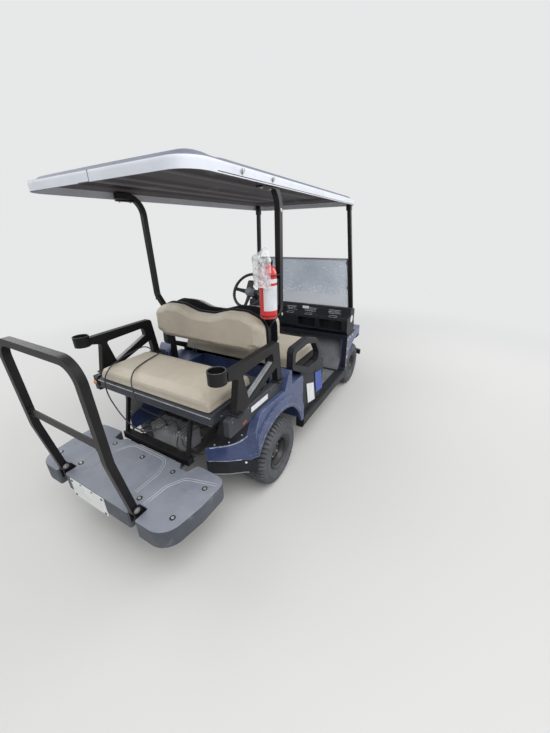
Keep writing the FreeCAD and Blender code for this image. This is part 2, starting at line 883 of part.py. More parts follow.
def rear_hollow():
    """What is taken out of the quarters: their insides, the wheel arches and the way to the axle."""
    body = new_body("rear_hollow")
    low = size.floor_top_z
    wall = size.body_wall
    tail = size.body_tail_x
    seam = size.body_seam_x
    panel = size.body_half - size.flare_depth
    inner = [
        (tail + wall, low - 20), (seam - wall, low - 20), (seam - wall, size.ledge_z - wall, 16),
        (size.ledge_tail_x + 2, size.ledge_z - wall, 56), (size.tail_dip_x + 4, size.tail_dip_z - 4, 84),
        (tail + wall, size.tail_top_z - 4),
    ]
    for side in (1, -1):
        plate(body, "side", [inner], *span(side, size.body_inner_y + wall, panel - wall))
    cut_tail_corners(body, wall, low - 30, size.ledge_z + 10)
    for side in (1, -1):
        plate(body, "side", [], *span(side, size.body_inner_y + wall, size.body_half + wall),
              circles=[(0, size.tyre_radius, size.arch_radius)])
        plate(body, "side", [], *span(side, size.body_inner_y - wall, size.body_inner_y + 2 * wall),
              circles=[(0, size.tyre_radius, size.axle_tube_radius + 190)])
    return body


def splash_guards():
    """Black strips that carry the tail's rounded corners on down behind the wheels."""
    body = new_body("splash_guards")
    for side in (1, -1):
        strip = tail_corner(side, 0)[:-1] + [(-272, side * 588)]
        inner = tail_corner(side, size.body_wall)[:-1] + [(-272 + 4, side * 585)]
        plate(body, "flat", [strip + list(reversed(inner))], size.guard_low_z, size.tail_foot_z)
    return body


# Hip restraint: x, z, corner radius of the loop, and of the hole in it
HIP_LOOP = [(165, 775, 30), (175, 915, 40), (400, 925, 40), (560, 880, 60), (655, 760, 50), (640, 640, 30),
            (420, 640, 60)]
HIP_HOLE = [(207, 790, 25), (214, 875, 30), (398, 883, 30), (540, 845, 40), (611, 752, 35), (604, 690, 25),
            (430, 692, 40)]


def hip_restraints():
    body = new_body("hip_restraints")
    nose = size.hip_front_x
    for side in (1, -1):
        near, far = span(side, size.pod_half, size.pod_half + size.hip_thick)
        plate(body, "side", [HIP_LOOP, HIP_HOLE], near, far)
        near, far = span(side, size.pod_half, size.pod_half + size.hip_panel_thick)
        plate(body, "side", [[
            (size.body_seam_x, size.floor_top_z), (nose - 40, size.floor_top_z, 30),
            (nose, size.pod_top_z - 60, 60), (nose - 130, size.pod_top_z, 30), (size.body_seam_x, size.pod_top_z),
        ]], near, far)
    return body


def seat_lid():
    body = new_body("seat_lid", size.lid_hinge_x, 0, size.pod_top_z)
    nose = size.pod_top_x - size.lid_hinge_x
    half = size.pod_half - 6
    plate(body, "flat", [box_outline(12, nose, -half, half, 20)], 0, size.lid_thick)
    axis_z = size.lid_hinge_radius
    for side in (1, -1):
        near, far = span(side, size.lid_hinge_y, size.lid_hinge_y + size.lid_barrel)
        plate(body, "side", [box_outline(0, 30, 0, size.lid_thick)], near, far)
        plate(body, "side", [], near, far, circles=[(0, axis_z, size.lid_hinge_radius)])
        cut(body, "side", [], near, far, circles=[(0, axis_z, size.lid_pin_radius + size.shaft_gap)])
    return body


def cushion(label, x, z, length, half, height):
    """A plain closed solid with a rolled edge; the crown and the piping come with the cover."""
    body = new_body(label, x, 0, z)
    plate(body, "side", [[(0, 0, 16), (length, 0, 16), (length, height, 40), (0, height, 30)]], -half, half)
    return body


# Seat back outline in half: y, z from the seat back's foot, corner radius
BACK_HALF = [(474, 45, 40), (468, 215, 90), (330, 268, 120), (200, 266, 120), (70, 228, 140)]
BACK_FOOT = [(-380, 2, 60), (380, 2, 60)]
BACK_FOOT_Z = 893


def back_outline(inset):
    half = [(wide - inset, high - inset if high > 100 else high + inset, radius) for wide, high, radius in BACK_HALF]
    foot = [(wide, high + inset, radius) for wide, high, radius in BACK_FOOT]
    return foot + half + [(-wide, high, radius) for wide, high, radius in reversed(half)]


def seat_back(label, x, depth, inset):
    body = new_body(label, x, 0, BACK_FOOT_Z)
    plate(body, "cross", [back_outline(inset)], 0, depth)
    return body


def seat_back_frame():
    """Cross bar between the struts, plates to the four back shells' faces and the slanted stays."""
    radius = float(size.back_bar_radius)
    reach = float(size.rear_strut_y) - 88 - float(size.strut_width) / 2
    x = float(size.rear_strut_x)
    z = float(size.back_bar_z)
    rear_face = float(size.rear_back_x + size.back_cushion_depth + size.back_shell_depth)
    front_face = float(size.front_back_x) - float(size.back_shell_depth)
    shape = rod(at(x, -reach, z), at(x, reach, z), radius)
    for side in (1, -1):
        y = side * float(size.back_plate_y)
        shape = shape.fuse(block((rear_face, y - 25, z - 90), (rear_face + 5, y + 25, z + 90)))
        shape = shape.fuse(block((front_face - 5, y - 25, z - 90), (front_face, y + 25, z + 90)))
        shape = shape.fuse(block((rear_face, y - 20, z - 8), (front_face, y + 20, z + 8)))
    return free_piece("seat_back_frame", shape.removeSplitter())


def rear_seat_frame():
    body = new_body("rear_seat_frame")
    low = size.tray_low_z
    top = size.tray_top_z
    half = size.tray_half
    plate(body, "flat", [box_outline(size.tray_tail_x, size.tray_nose_x, -half, half, 25)], low, top)
    lip = size.tray_lip
    cut(body, "flat", [box_outline(size.tray_tail_x + lip, size.tray_nose_x - lip, lip - half, half - lip, 15)],
        low, top - lip)
    for side in (1, -1):
        near, far = span(side, size.tray_half - 6, size.kit_panel_inner_y)
        for x in (-400, -60):
            plate(body, "side", [box_outline(x, x + 40, low + 5, low + 30)], near, far)
    return body


def seat_stays():
    """Flat-footed stays from the rear seat down to the cross bar, and posts on the frame tail."""
    pieces = []
    for side in (1, -1):
        y = side * 268
        top = at(-430, y, float(size.tray_low_z) - 0.3)
        foot = at(size.cross_bar_x, y, float(size.deck_tube_low_z + size.deck_tube + size.cross_bar))
        run = foot - top
        across = Vector(0, 1, 0)
        stay = swept(Part.Wire([Part.LineSegment(top, foot).toShape()]), square_at(top, run, across, 20, 20))
        keep = block((-700, y - 40, foot.z), (-300, y + 40, top.z))
        pieces.append(stay.common(keep))
        post_x = -140
        rail_top = float(size.rail_tail_z + size.rail_height)
        y = side * float(size.rail_y)
        pieces.append(block((post_x - 15, y - 15, rail_top), (post_x + 15, y + 15, float(size.tray_low_z))))
    return free_piece("seat_stays", Part.makeCompound(pieces))


# Armrest: x, z, corner radius of the outline, then of the opening
ARMREST_OUTER = [(-420, 745), (-376, 945, 20), (-452, 962), (-452, 1005, 12), (-60, 1013, 30), (30, 1013, 25),
                 (62, 745)]
ARMREST_HOLE = [(-300, 790, 15), (-340, 950, 15), (-45, 965, 25), (-36, 905, 20)]
ARMREST_NOTCH = [(-372, 735), (12, 735), (0, 862, 15)]


def armrests():
    body = new_body("armrests")
    for side in (1, -1):
        near, far = span(side, size.armrest_inner_y, size.armrest_outer_y)
        plate(body, "side", [ARMREST_OUTER], near, far)
        cut(body, "side", [ARMREST_HOLE, ARMREST_NOTCH], near, far)
        centre = side * (size.armrest_inner_y + 5)
        low = size.cup_rim_z - size.cup_depth
        plate(body, "flat", [], low, size.cup_rim_z, circles=[(size.cup_x, centre, size.cup_radius)])
        cut(body, "flat", [], low + 4, size.cup_rim_z, circles=[(size.cup_x, centre, size.cup_radius - 4)])
    return body


def seat_side_panels():
    body = new_body("seat_side_panels")
    top = size.kit_panel_top_z
    for side in (1, -1):
        near, far = span(side, size.kit_panel_inner_y, size.kit_panel_outer_y)
        plate(body, "side", [[
            (-470, size.ledge_z - 20, 10), (-287, size.ledge_z - 20), (size.ledge_tail_x + 12, size.ledge_z),
            (88, size.ledge_z), (108, top, 10), (-470, top, 10),
        ]], near, far)
    return body


def deck_frame():
    """Two tubes out of the frame's tail, cross bar, outriggers, bar hinge ears and hitch receiver."""
    body = new_body("deck_frame")
    low = size.deck_tube_low_z
    top = low + size.deck_tube
    half = size.deck_tube / 2
    tail = size.deck_tail_x
    for side in (1, -1):
        y = side * size.deck_tube_y
        plate(body, "flat", [box_outline(tail, size.rail_tail_x, y - half, y + half)], low, top)
    reach = size.bar_hinge_y + 32
    plate(body, "flat", [box_outline(tail, tail + size.deck_tube, -reach, reach)], low, top)
    plate(body, "flat", [box_outline(-720, -720 + size.deck_tube, -460, 460)], low, top)
    bar = size.cross_bar / 2
    plate(body, "flat", [box_outline(size.cross_bar_x - bar, size.cross_bar_x + bar,
                                     -size.cross_bar_half, size.cross_bar_half)], top, top + size.cross_bar)
    gap = size.bar_tube / 2 + size.bar_ear_gap
    for side in (1, -1):
        for sense in (1, -1):
            inner = side * size.bar_hinge_y + sense * gap
            outer = side * size.bar_hinge_y + sense * (gap + size.bar_ear_thick)
            low_y, high_y = (inner, outer) if sense > 0 else (outer, inner)
            plate(body, "side", [[
                (size.bar_hinge_x - 17, size.bar_hinge_z + 17, 14), (size.bar_hinge_x + 17, size.bar_hinge_z + 17, 14),
                (size.bar_hinge_x + 40, top), (size.bar_hinge_x + 40, low), (size.bar_hinge_x - 17, low),
            ]], low_y, high_y)
        y = side * size.bar_hinge_y
        reach = gap + size.bar_ear_thick + 4
        plate(body, "side", [], y - reach, y + reach,
              circles=[(size.bar_hinge_x, size.bar_hinge_z, size.bar_pin_radius)])
    hitch = size.hitch_size / 2
    bore = size.hitch_bore / 2
    seat = low - size.hitch_drop
    centre = seat - hitch
    plate(body, "cross", [box_outline(-hitch, hitch, seat - size.hitch_size, seat)],
          tail - 10, tail - 10 + size.hitch_length)
    plate(body, "cross", [box_outline(-hitch, hitch, seat, low)], tail, tail + size.deck_tube)
    cut(body, "cross", [box_outline(-bore, bore, centre - bore, centre + bore)],
        tail - 10, tail - 10 + size.hitch_length)
    cut(body, "side", [], -hitch, hitch, circles=[(size.hitch_pin_x, centre, size.hitch_pin_radius)])
    return body


def footboard_deck():
    body = new_body("footboard_deck")
    top = size.deck_top_z
    tube_top = size.deck_tube_low_z + size.deck_tube
    rear = size.deck_rear_x
    lobe = size.deck_lobe_x
    slot_y = size.bar_hinge_y
    slot_half = 31
    slot_x = size.bar_hinge_x + 46

    def outline(wall):
        return mirrored([
            (size.deck_front_x - wall, 240), (size.deck_front_x - 30 - wall, 262, 8),
            (size.deck_front_x - 30 - wall, 296 + wall, 8), (size.deck_bump_x - wall, 312 + wall, 12),
            (size.deck_bump_x - wall, size.deck_half - wall, 60), (lobe + wall, size.deck_half - 30 - wall, 100),
            (lobe + wall, slot_y + slot_half + wall, 12), (slot_x + wall, slot_y + slot_half + wall, 5),
            (slot_x + wall, slot_y - slot_half - wall, 5), (rear + wall, slot_y - slot_half - wall, 12),
        ])

    wall = size.deck_wall
    plate(body, "flat", [outline(0)], size.deck_skirt_z, top)
    cut(body, "flat", [outline(wall)], size.deck_skirt_z, tube_top)
    front = size.deck_front_x
    cut(body, "flat", [box_outline(front - 20, front + 5, -236, 236)], size.deck_skirt_z, tube_top)
    reach = size.bar_hinge_y + 34
    tail = size.deck_tail_x - 2
    cut(body, "flat", [box_outline(tail, tail + size.deck_tube + 4, -reach, reach)], size.deck_skirt_z, tube_top)
    # pressed lines: one round the middle field, open to the rear, and one from each bar foot to the side
    grooves = [[(-800, 200), (-549, 200, 97), (-549, -200, 97), (-800, -200),
                (-800, -186), (-563, -186, 83), (-563, 186, 83), (-800, 186)]]
    for side in (1, -1):
        grooves.append([(-830, side * 289), (-651, side * 299, 60), (-568, side * 500), (-582, side * 503),
                        (-659, side * 313, 46), (-830, side * 303)])
    cut(body, "flat", grooves, top - size.groove_depth, top)
    return body


def grab_bar():
    hinge = at(size.bar_hinge_x, size.bar_hinge_y, size.bar_hinge_z - 20)
    bend = at(size.bar_bend_x, size.bar_hinge_y, size.bar_bend_z)
    top = at(size.bar_top_x, size.bar_hinge_y, size.bar_top_z)
    mirror = [Vector(point.x, -point.y, point.z) for point in (top, bend, hinge)]
    corner = float(size.bar_corner)
    path = run_wire([hinge, bend, top, *mirror], [200, corner, corner, 200])
    tube = float(size.bar_tube)
    shape = swept(path, square_at(hinge, bend - hinge, Vector(0, 1, 0), tube, tube))
    inside = tube - 2 * float(size.bar_wall)
    shape = shape.cut(swept(path, square_at(hinge, bend - hinge, Vector(0, 1, 0), inside, inside)))
    share = float(size.bar_rail_z - size.bar_bend_z) / float(size.bar_top_z - size.bar_bend_z)
    rail_x = float(size.bar_bend_x) + share * float(size.bar_top_x - size.bar_bend_x)
    deep = float(size.bar_rail_depth) / 2
    tall = float(size.bar_rail_height) / 2
    reach = float(size.bar_hinge_y) - tube / 2 + 4
    z = float(size.bar_rail_z)
    shape = shape.fuse(block((rail_x - deep, -reach, z - tall), (rail_x + deep, reach, z + tall)))
    for side in (1, -1):
        y = side * float(size.bar_hinge_y)
        eye = at(size.bar_hinge_x, y - tube, size.bar_hinge_z)
        shape = shape.cut(rod(eye, eye + at(0, 2 * tube, 0), float(size.bar_pin_radius + size.shaft_gap)))
    return free_piece("grab_bar", shape)


def cowl_blank():
    """Hood and front fenders as one solid block, with the nose rounded in plan."""
    body = new_body("cowl_blank")
    tail = size.cowl_tail_x
    nose = size.cowl_nose_x
    low = size.cowl_low_z
    ledge = size.cowl_ledge_z
    half = size.cowl_half
    fender = [(tail, low), (nose - 30, low, 15), (nose - 10, 420, 40), (nose - 90, 560, 80),
              (nose - 240, ledge, 90), (tail, ledge)]
    hood = [(1560, ledge - 20), (1560, size.hood_top_z, 10), (1625, size.hood_top_z, 10), (1950, 700, 200),
            (nose - 20, 560, 60), (nose - 4, 400), (nose - 60, 400), (nose - 240, ledge - 20)]
    plate(body, "side", [fender], -half, half)
    plate(body, "side", [hood], -size.hood_half, size.hood_half)
    for side in (1, -1):
        corner = [(nose + 20, side * 300), (nose + 20, side * (half + 20)), (nose - 420, side * (half + 20)),
                  (nose - 150, side * (half - 40), 160), (nose - 20, side * 380, 120)]
        cut(body, "flat", [corner], low - 10, size.hood_top_z)
    return body


def cowl_hollow():
    """What is taken out of the block: its inside, its open back and the wheel arches."""
    body = new_body("cowl_hollow")
    tail = size.cowl_tail_x
    nose = size.cowl_nose_x
    wall = size.cowl_wall
    low = size.cowl_low_z
    ledge = size.cowl_ledge_z
    half = size.cowl_half
    inner = [(tail + wall, low - 10), (nose - 36, low - 10, 10), (nose - 16, 420, 34), (nose - 94, 556, 74),
             (nose - 242, ledge - wall, 84), (tail + wall, ledge - wall)]
    under = [(1566, ledge - 30), (1566, size.hood_top_z - wall, 6), (1625, size.hood_top_z - wall, 10),
             (1947, 700 - wall, 194), (nose - 28, 556, 54), (nose - 12, 424), (nose - 60, 424),
             (nose - 246, ledge - 30)]
    plate(body, "side", [inner], wall - half, half - wall)
    plate(body, "side", [under], wall - size.hood_half, size.hood_half - wall)
    for side in (1, -1):
        corner = [(nose + 20, side * 294), (nose + 20, side * (half + 20)), (nose - 420, side * (half + 20)),
                  (nose - 153, side * (half - 46), 154), (nose - 26, side * 376, 116)]
        cut(body, "flat", [corner], low - 20, size.hood_top_z)
    plate(body, "cross", [box_outline(-size.floor_half - 1, size.floor_half + 1, low - 10, ledge - wall)],
          tail - 5, tail + wall + 5)
    plate(body, "side", [], -half - 10, half + 10,
          circles=[(size.wheel_base, size.tyre_radius, size.front_arch_radius)])
    return body


def lamp_block():
    body = new_body("lamp_block")
    low = size.lamp_low_z
    for side in (1, -1):
        near, far = span(side, size.lamp_inner_y, size.lamp_outer_y)
        plate(body, "cross", [box_outline(near, far, low, low + size.lamp_height, 15)], 1960, 2120)
    return body


def front_body():
    """The hollow cowl and the two lamps that fill its openings flush."""
    blank = cowl_blank()
    lamps = lamp_block()
    shell = combined("Cut", "cowl_shell", blank, cowl_hollow())
    cowl = combined("Cut", "front_cowl", shell, lamps)
    headlamps = combined("Common", "headlamps", blank, lamps)
    return cowl, headlamps


def front_bumper():
    body = new_body("front_bumper")
    low = size.bumper_low_z
    nose = size.nose_reach
    tail = nose - size.bumper_depth
    outline = mirrored([(nose, 330, 200), (nose - 115, 588, 14), (tail - 75, 578), (tail, 400, 60)])
    plate(body, "flat", [outline], low, size.cowl_low_z)
    return body


# Rear face pockets of the dash: low y, high y, low z, high z
DASH_POCKETS = [(-540, -300, 700, 850), (-270, -60, 700, 850)]
# Cup holes in the dash shelf: x, y
DASH_CUPS = [(1378, -430), (1378, -170), (1378, 40), (1378, 480)]


def dashboard():
    body = new_body("dashboard_blank")
    tail = size.dash_tail_x
    nose = size.dash_nose_x
    top = size.dash_top_z
    half = size.dash_half
    low = size.cowl_ledge_z
    plate(body, "side", [[
        (tail + 60, low), (nose, low), (nose, top - 20, 10), (nose - 60, top, 30), (tail + 100, top, 25),
        (tail + 90, 835, 10), (tail, 822, 15), (tail + 8, 700, 20),
    ]], -half, half)
    cut(body, "side", [[(tail + 80, low - 10), (nose - 6, low - 10), (nose - 6, 690), (tail + 110, 690)]],
        6 - half, half - 6)
    for low_y, high_y, low_z, high_z in DASH_POCKETS:
        cut(body, "cross", [box_outline(low_y, high_y, low_z, high_z - 45, 12)], tail - 10, tail + 75)
    cups = [(x, y, 38) for x, y in DASH_CUPS]
    cut(body, "flat", [], 770, 840, circles=cups)
    return body


def column_axis():
    lean = math.radians(float(size.column_angle))
    centre = at(size.wheel_x, size.wheel_y, size.wheel_z)
    return centre, Vector(math.cos(lean), 0, -math.sin(lean))


def bored_dashboard():
    """The dash with the hole that the steering column passes through."""
    blank = dashboard()
    centre, axis = column_axis()
    bore = rod(centre + axis * 300, centre + axis * 720, float(size.column_radius) + 1)
    doc.recompute()
    shape = blank.Shape.copy()
    shape.translate(at(-size.rear_axle_x, 0, 0))
    return free_piece("dashboard", shape.cut(bore))


def steering_column():
    centre, axis = column_axis()
    radius = float(size.column_radius)
    shape = rod(centre + axis * 60, centre + axis * 640, radius)
    shape = shape.fuse(rod(centre + axis * 50.3, centre + axis * 110, radius + 10))
    return free_piece("steering_column", shape)


def steering_wheel():
    """A padded rim on three spokes; local z runs up the column to the driver."""
    body = doc.addObject("PartDesign::Body", "steering_wheel")
    body.Label = "steering_wheel"
    lean = 90 - float(size.column_angle)
    body.Placement = FreeCAD.Placement(Vector(), FreeCAD.Rotation(Vector(0, 1, 0), -lean))
    bind(body, "Placement.Rotation.Angle", size.column_angle - 90)
    place(body, size.rear_axle_x + size.wheel_x, size.wheel_y, size.wheel_z)
    sketch = outline_sketch(body, "XZ_Plane", [], 0, circles=[(size.wheel_radius, 0, size.wheel_rim_radius)])
    ring = body.newObject("PartDesign::Revolution", "steering_wheel_ring")
    ring.Profile = sketch
    ring.ReferenceAxis = (sketch, ["V_Axis"])
    ring.Angle = 360
    plate(body, "flat", [], -50, -6, circles=[(0, 0, size.wheel_hub_radius)])
    reach = size.wheel_radius
    plate(body, "flat", [box_outline(-14, 14, -reach, reach)], -13, -6)
    plate(body, "flat", [box_outline(-reach, 0, -20, 20)], -13, -6)
    return body


# Pedals: y, half width, reach up the toe board, pad height
PEDALS = [(200, 38, 120, 110), (345, 60, 110, 90)]


def pedals():
    body = doc.addObject("PartDesign::Body", "pedals")
    body.Label = "pedals"
    rise = float(size.toe_top_z - size.floor_top_z)
    slope = math.degrees(math.atan2(rise, float(size.toe_top_x - size.toe_start_x)))
    body.Placement = FreeCAD.Placement(Vector(), FreeCAD.Rotation(Vector(0, 1, 0), -slope))
    place(body, size.rear_axle_x + size.toe_start_x, 0, size.floor_top_z)
    for y, half, start, tall in PEDALS:
        plate(body, "flat", [box_outline(start, start + tall, y - half, y + half, 10)], 55, 67)
        plate(body, "flat", [box_outline(start + 40, start + 70, y - 12, y + 12)], 0.3, 55)
    return body


# Long ribs pressed into the roof's underside: low y, high y
ROOF_RIBS = [(-390, -300), (-210, -120), (120, 210), (300, 390)]


def roof_outline(inset):
    return mirrored([
        (size.roof_tail_x + inset, size.roof_tail_half - inset, size.roof_tail_corner - inset),
        (size.roof_nose_x - inset, size.roof_nose_half - inset, size.roof_nose_corner - inset),
    ])


def crown_outline(inset):
    tail = size.roof_tail_x + inset
    nose = size.roof_nose_x - inset
    return mirrored([
        (tail, size.roof_tail_half - inset - 60, 60), (nose, size.roof_nose_half - inset, 60),
    ])


def roof():
    body = new_body("roof")
    low = size.roof_low_z
    skirt_top = low + size.roof_skirt
    top = skirt_top + size.roof_crown
    wall = size.roof_wall
    plate(body, "flat", [roof_outline(0)], low, skirt_top)
    cut(body, "flat", [roof_outline(wall)], low, skirt_top - wall - 2)
    plate(body, "flat", [crown_outline(70)], skirt_top - 6, skirt_top + 8)
    plate(body, "flat", [crown_outline(130)], skirt_top, top)
    cut(body, "flat", [crown_outline(140)], skirt_top - wall - 2, top - wall)
    ribs = [box_outline(size.roof_tail_x + 260, size.roof_nose_x - 260, low_y, high_y, 20)
            for low_y, high_y in ROOF_RIBS]
    plate(body, "flat", ribs, top - wall - size.roof_rib, top - wall + 1)
    return body


# Front strut: x and y of its middle at the two heights that set its lean
FRONT_STRUT_TOP = (1500, 475, 1780)
FRONT_STRUT_FOOT = (1600, 565, 620)


def front_strut_at(z):
    """Middle of the front strut at a height, with y on the left side."""
    top = Vector(*FRONT_STRUT_TOP)
    foot = Vector(*FRONT_STRUT_FOOT)
    return top + (foot - top) * ((top.z - z) / (top.z - foot.z))


def strut_shapes():
    pieces = []
    width = float(size.strut_width)
    ceiling = float(size.roof_low_z + size.roof_skirt - size.roof_wall - 2)
    ledge = float(size.cowl_ledge_z)
    for side in (1, -1):
        x = float(size.rear_strut_x)
        y = side * float(size.rear_strut_y)
        inboard = y - side * 88
        top = ceiling - width / 2
        points = [Vector(-60, y, top), Vector(x, y, top), Vector(x, y, 1180), Vector(x, inboard, 1060),
                  Vector(x, inboard, float(size.ledge_z))]
        path = run_wire(points, [float(size.rear_strut_bend), 60, 60])
        pieces.append(swept(path, square_at(points[0], Vector(1, 0, 0), Vector(0, 1, 0), width, width)))
        top = front_strut_at(ceiling + 20)
        foot = front_strut_at(ledge - 20)
        top.y *= side
        foot.y *= side
        path = Part.Wire([Part.LineSegment(top, foot).toShape()])
        post = swept(path, square_at(top, foot - top, Vector(0, 1, 0), width, width))
        keep = block((1400, -700, ledge), (1700, 700, ceiling))
        pieces.append(post.common(keep))
    return pieces


# Panes: forward offset, low z, high z
PANES = [(0, 806, 1350), (12, 812, 1340)]
PANE_EDGE = 26
CLIP_HEIGHTS = (850, 1080, 1310)


def glazing():
    """Struts, the two panes between the front ones, the upper folded down, and the clips."""
    struts = strut_shapes()
    panes = []
    for forward, low, high in PANES:
        corners = []
        for z, sign in ((low, -1), (low, 1), (high, 1), (high, -1)):
            middle = front_strut_at(z)
            corners.append(Vector(middle.x + forward, sign * (middle.y - PANE_EDGE), z))
        face = Part.Face(Part.makePolygon(corners + corners[:1]))
        panes.append(face.extrude(Vector(float(size.pane_thick), 0, 0)))
    clips = []
    for z in CLIP_HEIGHTS:
        middle = front_strut_at(z)
        for side in (1, -1):
            near, far = span(side, middle.y - PANE_EDGE - 12, middle.y - size.strut_width / 2 + 4)
            clip = block((middle.x - 6, near, z - 12), (middle.x + 24, far, z + 12))
            for other in panes + struts:
                clip = clip.cut(other)
            clips.append(clip)
    return (free_piece("roof_struts", Part.makeCompound(struts)),
            free_piece("windshield", Part.makeCompound(panes)),
            free_piece("pane_clips", Part.makeCompound(clips)))


def fire_extinguisher():
    """Upright cylinder with a valve head and a lever, strapped to a block on the right rear strut."""
    radius = size.bottle_radius
    body = new_body("fire_extinguisher", size.bottle_x, size.bottle_y, size.bottle_low_z)
    sketch = outline_sketch(body, "XZ_Plane", [[
        (0, 0), (radius, 0, 12), (radius, size.bottle_height - 30, 35), (18, size.bottle_height, 10),
        (16, size.bottle_height + 40), (0, size.bottle_height + 40),
    ]])
    shell = body.newObject("PartDesign::Revolution", "fire_extinguisher_turned")
    shell.Profile = sketch
    shell.ReferenceAxis = (sketch, ["V_Axis"])
    shell.Angle = 360
    head = size.bottle_height + 30
    plate(body, "flat", [box_outline(-60, 20, -8, 8, 4)], head, head + 20)
    return body


def bottle_bracket():
    strut_face = float(size.rear_strut_x - size.strut_width / 2)
    y = -float(size.rear_strut_y)
    low = float(size.bottle_low_z) + 70
    shape = block((strut_face - 30, y - 10, low), (strut_face, y + 14, low + 150))
    bottle = at(size.bottle_x, size.bottle_y, low - 10)
    shape = shape.cut(rod(bottle, bottle + at(0, 0, 170), float(size.bottle_radius + size.seat_gap)))
    return free_piece("bottle_bracket", shape)


# Charging cord, out of the charger, over the rear cushion and back: x, y, z
CORD_ROUTE = [
    (-405, 0, 500), (-405, 0, 552), (-462, 66, 606), (-506, 88, 670), (-510, 92, 746), (-505, 108, 826),
    (-442, 158, 856), (-342, 220, 849), (-232, 252, 848), (-132, 268, 853), (-70, 284, 828), (-56, 308, 780),
    (-50, 352, 763), (-54, 410, 764), (-62, 452, 788), (-74, 470, 832), (-132, 472, 857), (-218, 460, 848),
    (-312, 438, 849), (-402, 388, 849), (-468, 340, 857), (-509, 352, 806), (-512, 374, 734), (-512, 362, 662),
    (-510, 322, 594), (-508, 266, 530), (-496, 204, 474), (-482, 130, 456), (-466, 54, 478), (-446, -20, 516),
    (-424, -64, 572), (-405, -110, 562), (-405, -110, 500),
]


def cord_radii(points):
    """Each bend takes 0.45 of the shorter run beside it."""
    radii = []
    for before, here, after in zip(points, points[1:], points[2:]):
        shorter = min((here - before).Length, (after - here).Length)
        opening = (before - here).getAngle(after - here)
        radii.append(0.45 * shorter * math.tan(opening / 2))
    return radii


def charging_cord():
    points = [Vector(*place) for place in CORD_ROUTE]
    radii = cord_radii(points)
    print("cord bend radii", [round(radius) for radius in radii])
    path = run_wire(points, radii)
    radius = float(size.cord_radius)
    shape = swept(path, ring_at(points[0], points[1] - points[0], radius))
    print("cord length", round(path.Length), "volume share", shape.Volume / (math.pi * radius ** 2 * path.Length))
    return free_piece("charging_cord", shape)


def charger():
    body = new_body("charger")
    low = size.rail_tail_z + size.rail_height
    plate(body, "flat", [box_outline(-430, -310, -190, 120, 8)], low, low + 110)
    fins = []
    for index in range(12):
        y = -180 + 25 * index
        fins.append(box_outline(-431, -309, y, y + 12))
    cut(body, "flat", fins, low + 85, low + 110)
    glands = [(x, y, 9) for x, y, z in (CORD_ROUTE[0], CORD_ROUTE[-1])]
    plate(body, "flat", [], low + 80, low + 120, circles=glands)
    return body


nodes = [
    chassis_frame(), leaf_springs(), rear_axle(), drive_motor(), front_axle(), tie_rod(), floor_pan(),
    floor_mat(), sills(), battery_pack(), seat_pod(), combined("Cut", "rear_body", rear_blank(), rear_hollow()),
    splash_guards(), hip_restraints(), seat_lid(),
    seat_back_frame(), rear_seat_frame(), seat_stays(), armrests(), seat_side_panels(), deck_frame(),
    footboard_deck(), grab_bar(), *front_body(), front_bumper(), steering_column(),
    steering_wheel(), pedals(), roof(), *glazing(), fire_extinguisher(), bottle_bracket(),
    charging_cord(), charger(),
]
for word, side in SIDES:
    nodes.append(knuckle(word, side))
for corner, side, axle_x, wheel_y, has_drum in WHEELS:
    nodes.append(tyre(corner, side, axle_x, wheel_y))
    nodes.append(rim(corner, side, axle_x, wheel_y, has_drum))
top = size.pod_top_z + size.lid_thick + size.seat_gap
nodes.append(cushion("front_cushion", size.front_cushion_x, top, size.front_cushion_length,
                     size.front_cushion_half, size.front_cushion_height))
nodes.append(cushion("rear_cushion", size.rear_cushion_x, size.tray_top_z + size.seat_gap,
                     size.rear_cushion_length, size.rear_cushion_half, size.rear_cushion_height))
shell_x = size.rear_back_x + size.back_cushion_depth
nodes.append(seat_back("rear_back_cushion", size.rear_back_x - size.seat_gap, size.back_cushion_depth, 6))
nodes.append(seat_back("rear_back_shell", shell_x, size.back_shell_depth, 0))
nodes.append(seat_back("front_back_shell", size.front_back_x - size.back_shell_depth, size.back_shell_depth, 0))
nodes.append(seat_back("front_back_cushion", size.front_back_x + size.seat_gap, size.back_cushion_depth, 6))
nodes.append(bored_dashboard())

doc.recompute()
for item in doc.Objects:
    if "Invalid" in item.State or "Error" in item.State:
        raise RuntimeError(f"{item.Name} did not build: {item.State}")
for node in nodes:
    if node.Shape.isNull() or not node.Shape.isValid():
        raise RuntimeError(f"{node.Label} has no valid shape")
for node in nodes:
    node.Shape.exportStep(f"parts/{node.Label}.step")
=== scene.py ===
import bmesh
import bpy
import json
import math
from mathutils import Matrix, Vector, noise


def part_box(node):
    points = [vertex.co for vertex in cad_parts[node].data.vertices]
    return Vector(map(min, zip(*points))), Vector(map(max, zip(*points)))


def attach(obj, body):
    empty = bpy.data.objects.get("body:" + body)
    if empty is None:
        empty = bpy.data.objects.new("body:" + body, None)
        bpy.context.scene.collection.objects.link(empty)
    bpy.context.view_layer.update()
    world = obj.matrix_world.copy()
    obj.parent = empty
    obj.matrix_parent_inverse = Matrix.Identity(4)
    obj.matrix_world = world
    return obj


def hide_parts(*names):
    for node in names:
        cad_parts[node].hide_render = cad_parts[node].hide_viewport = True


# Golf cart with a rear-facing seat, dressed around its frame. Metres, +X front, +Y left, +Z up.
# Places are written in millimetres from the rear axle, as mm(x, y, z) turns them into the row's frame.

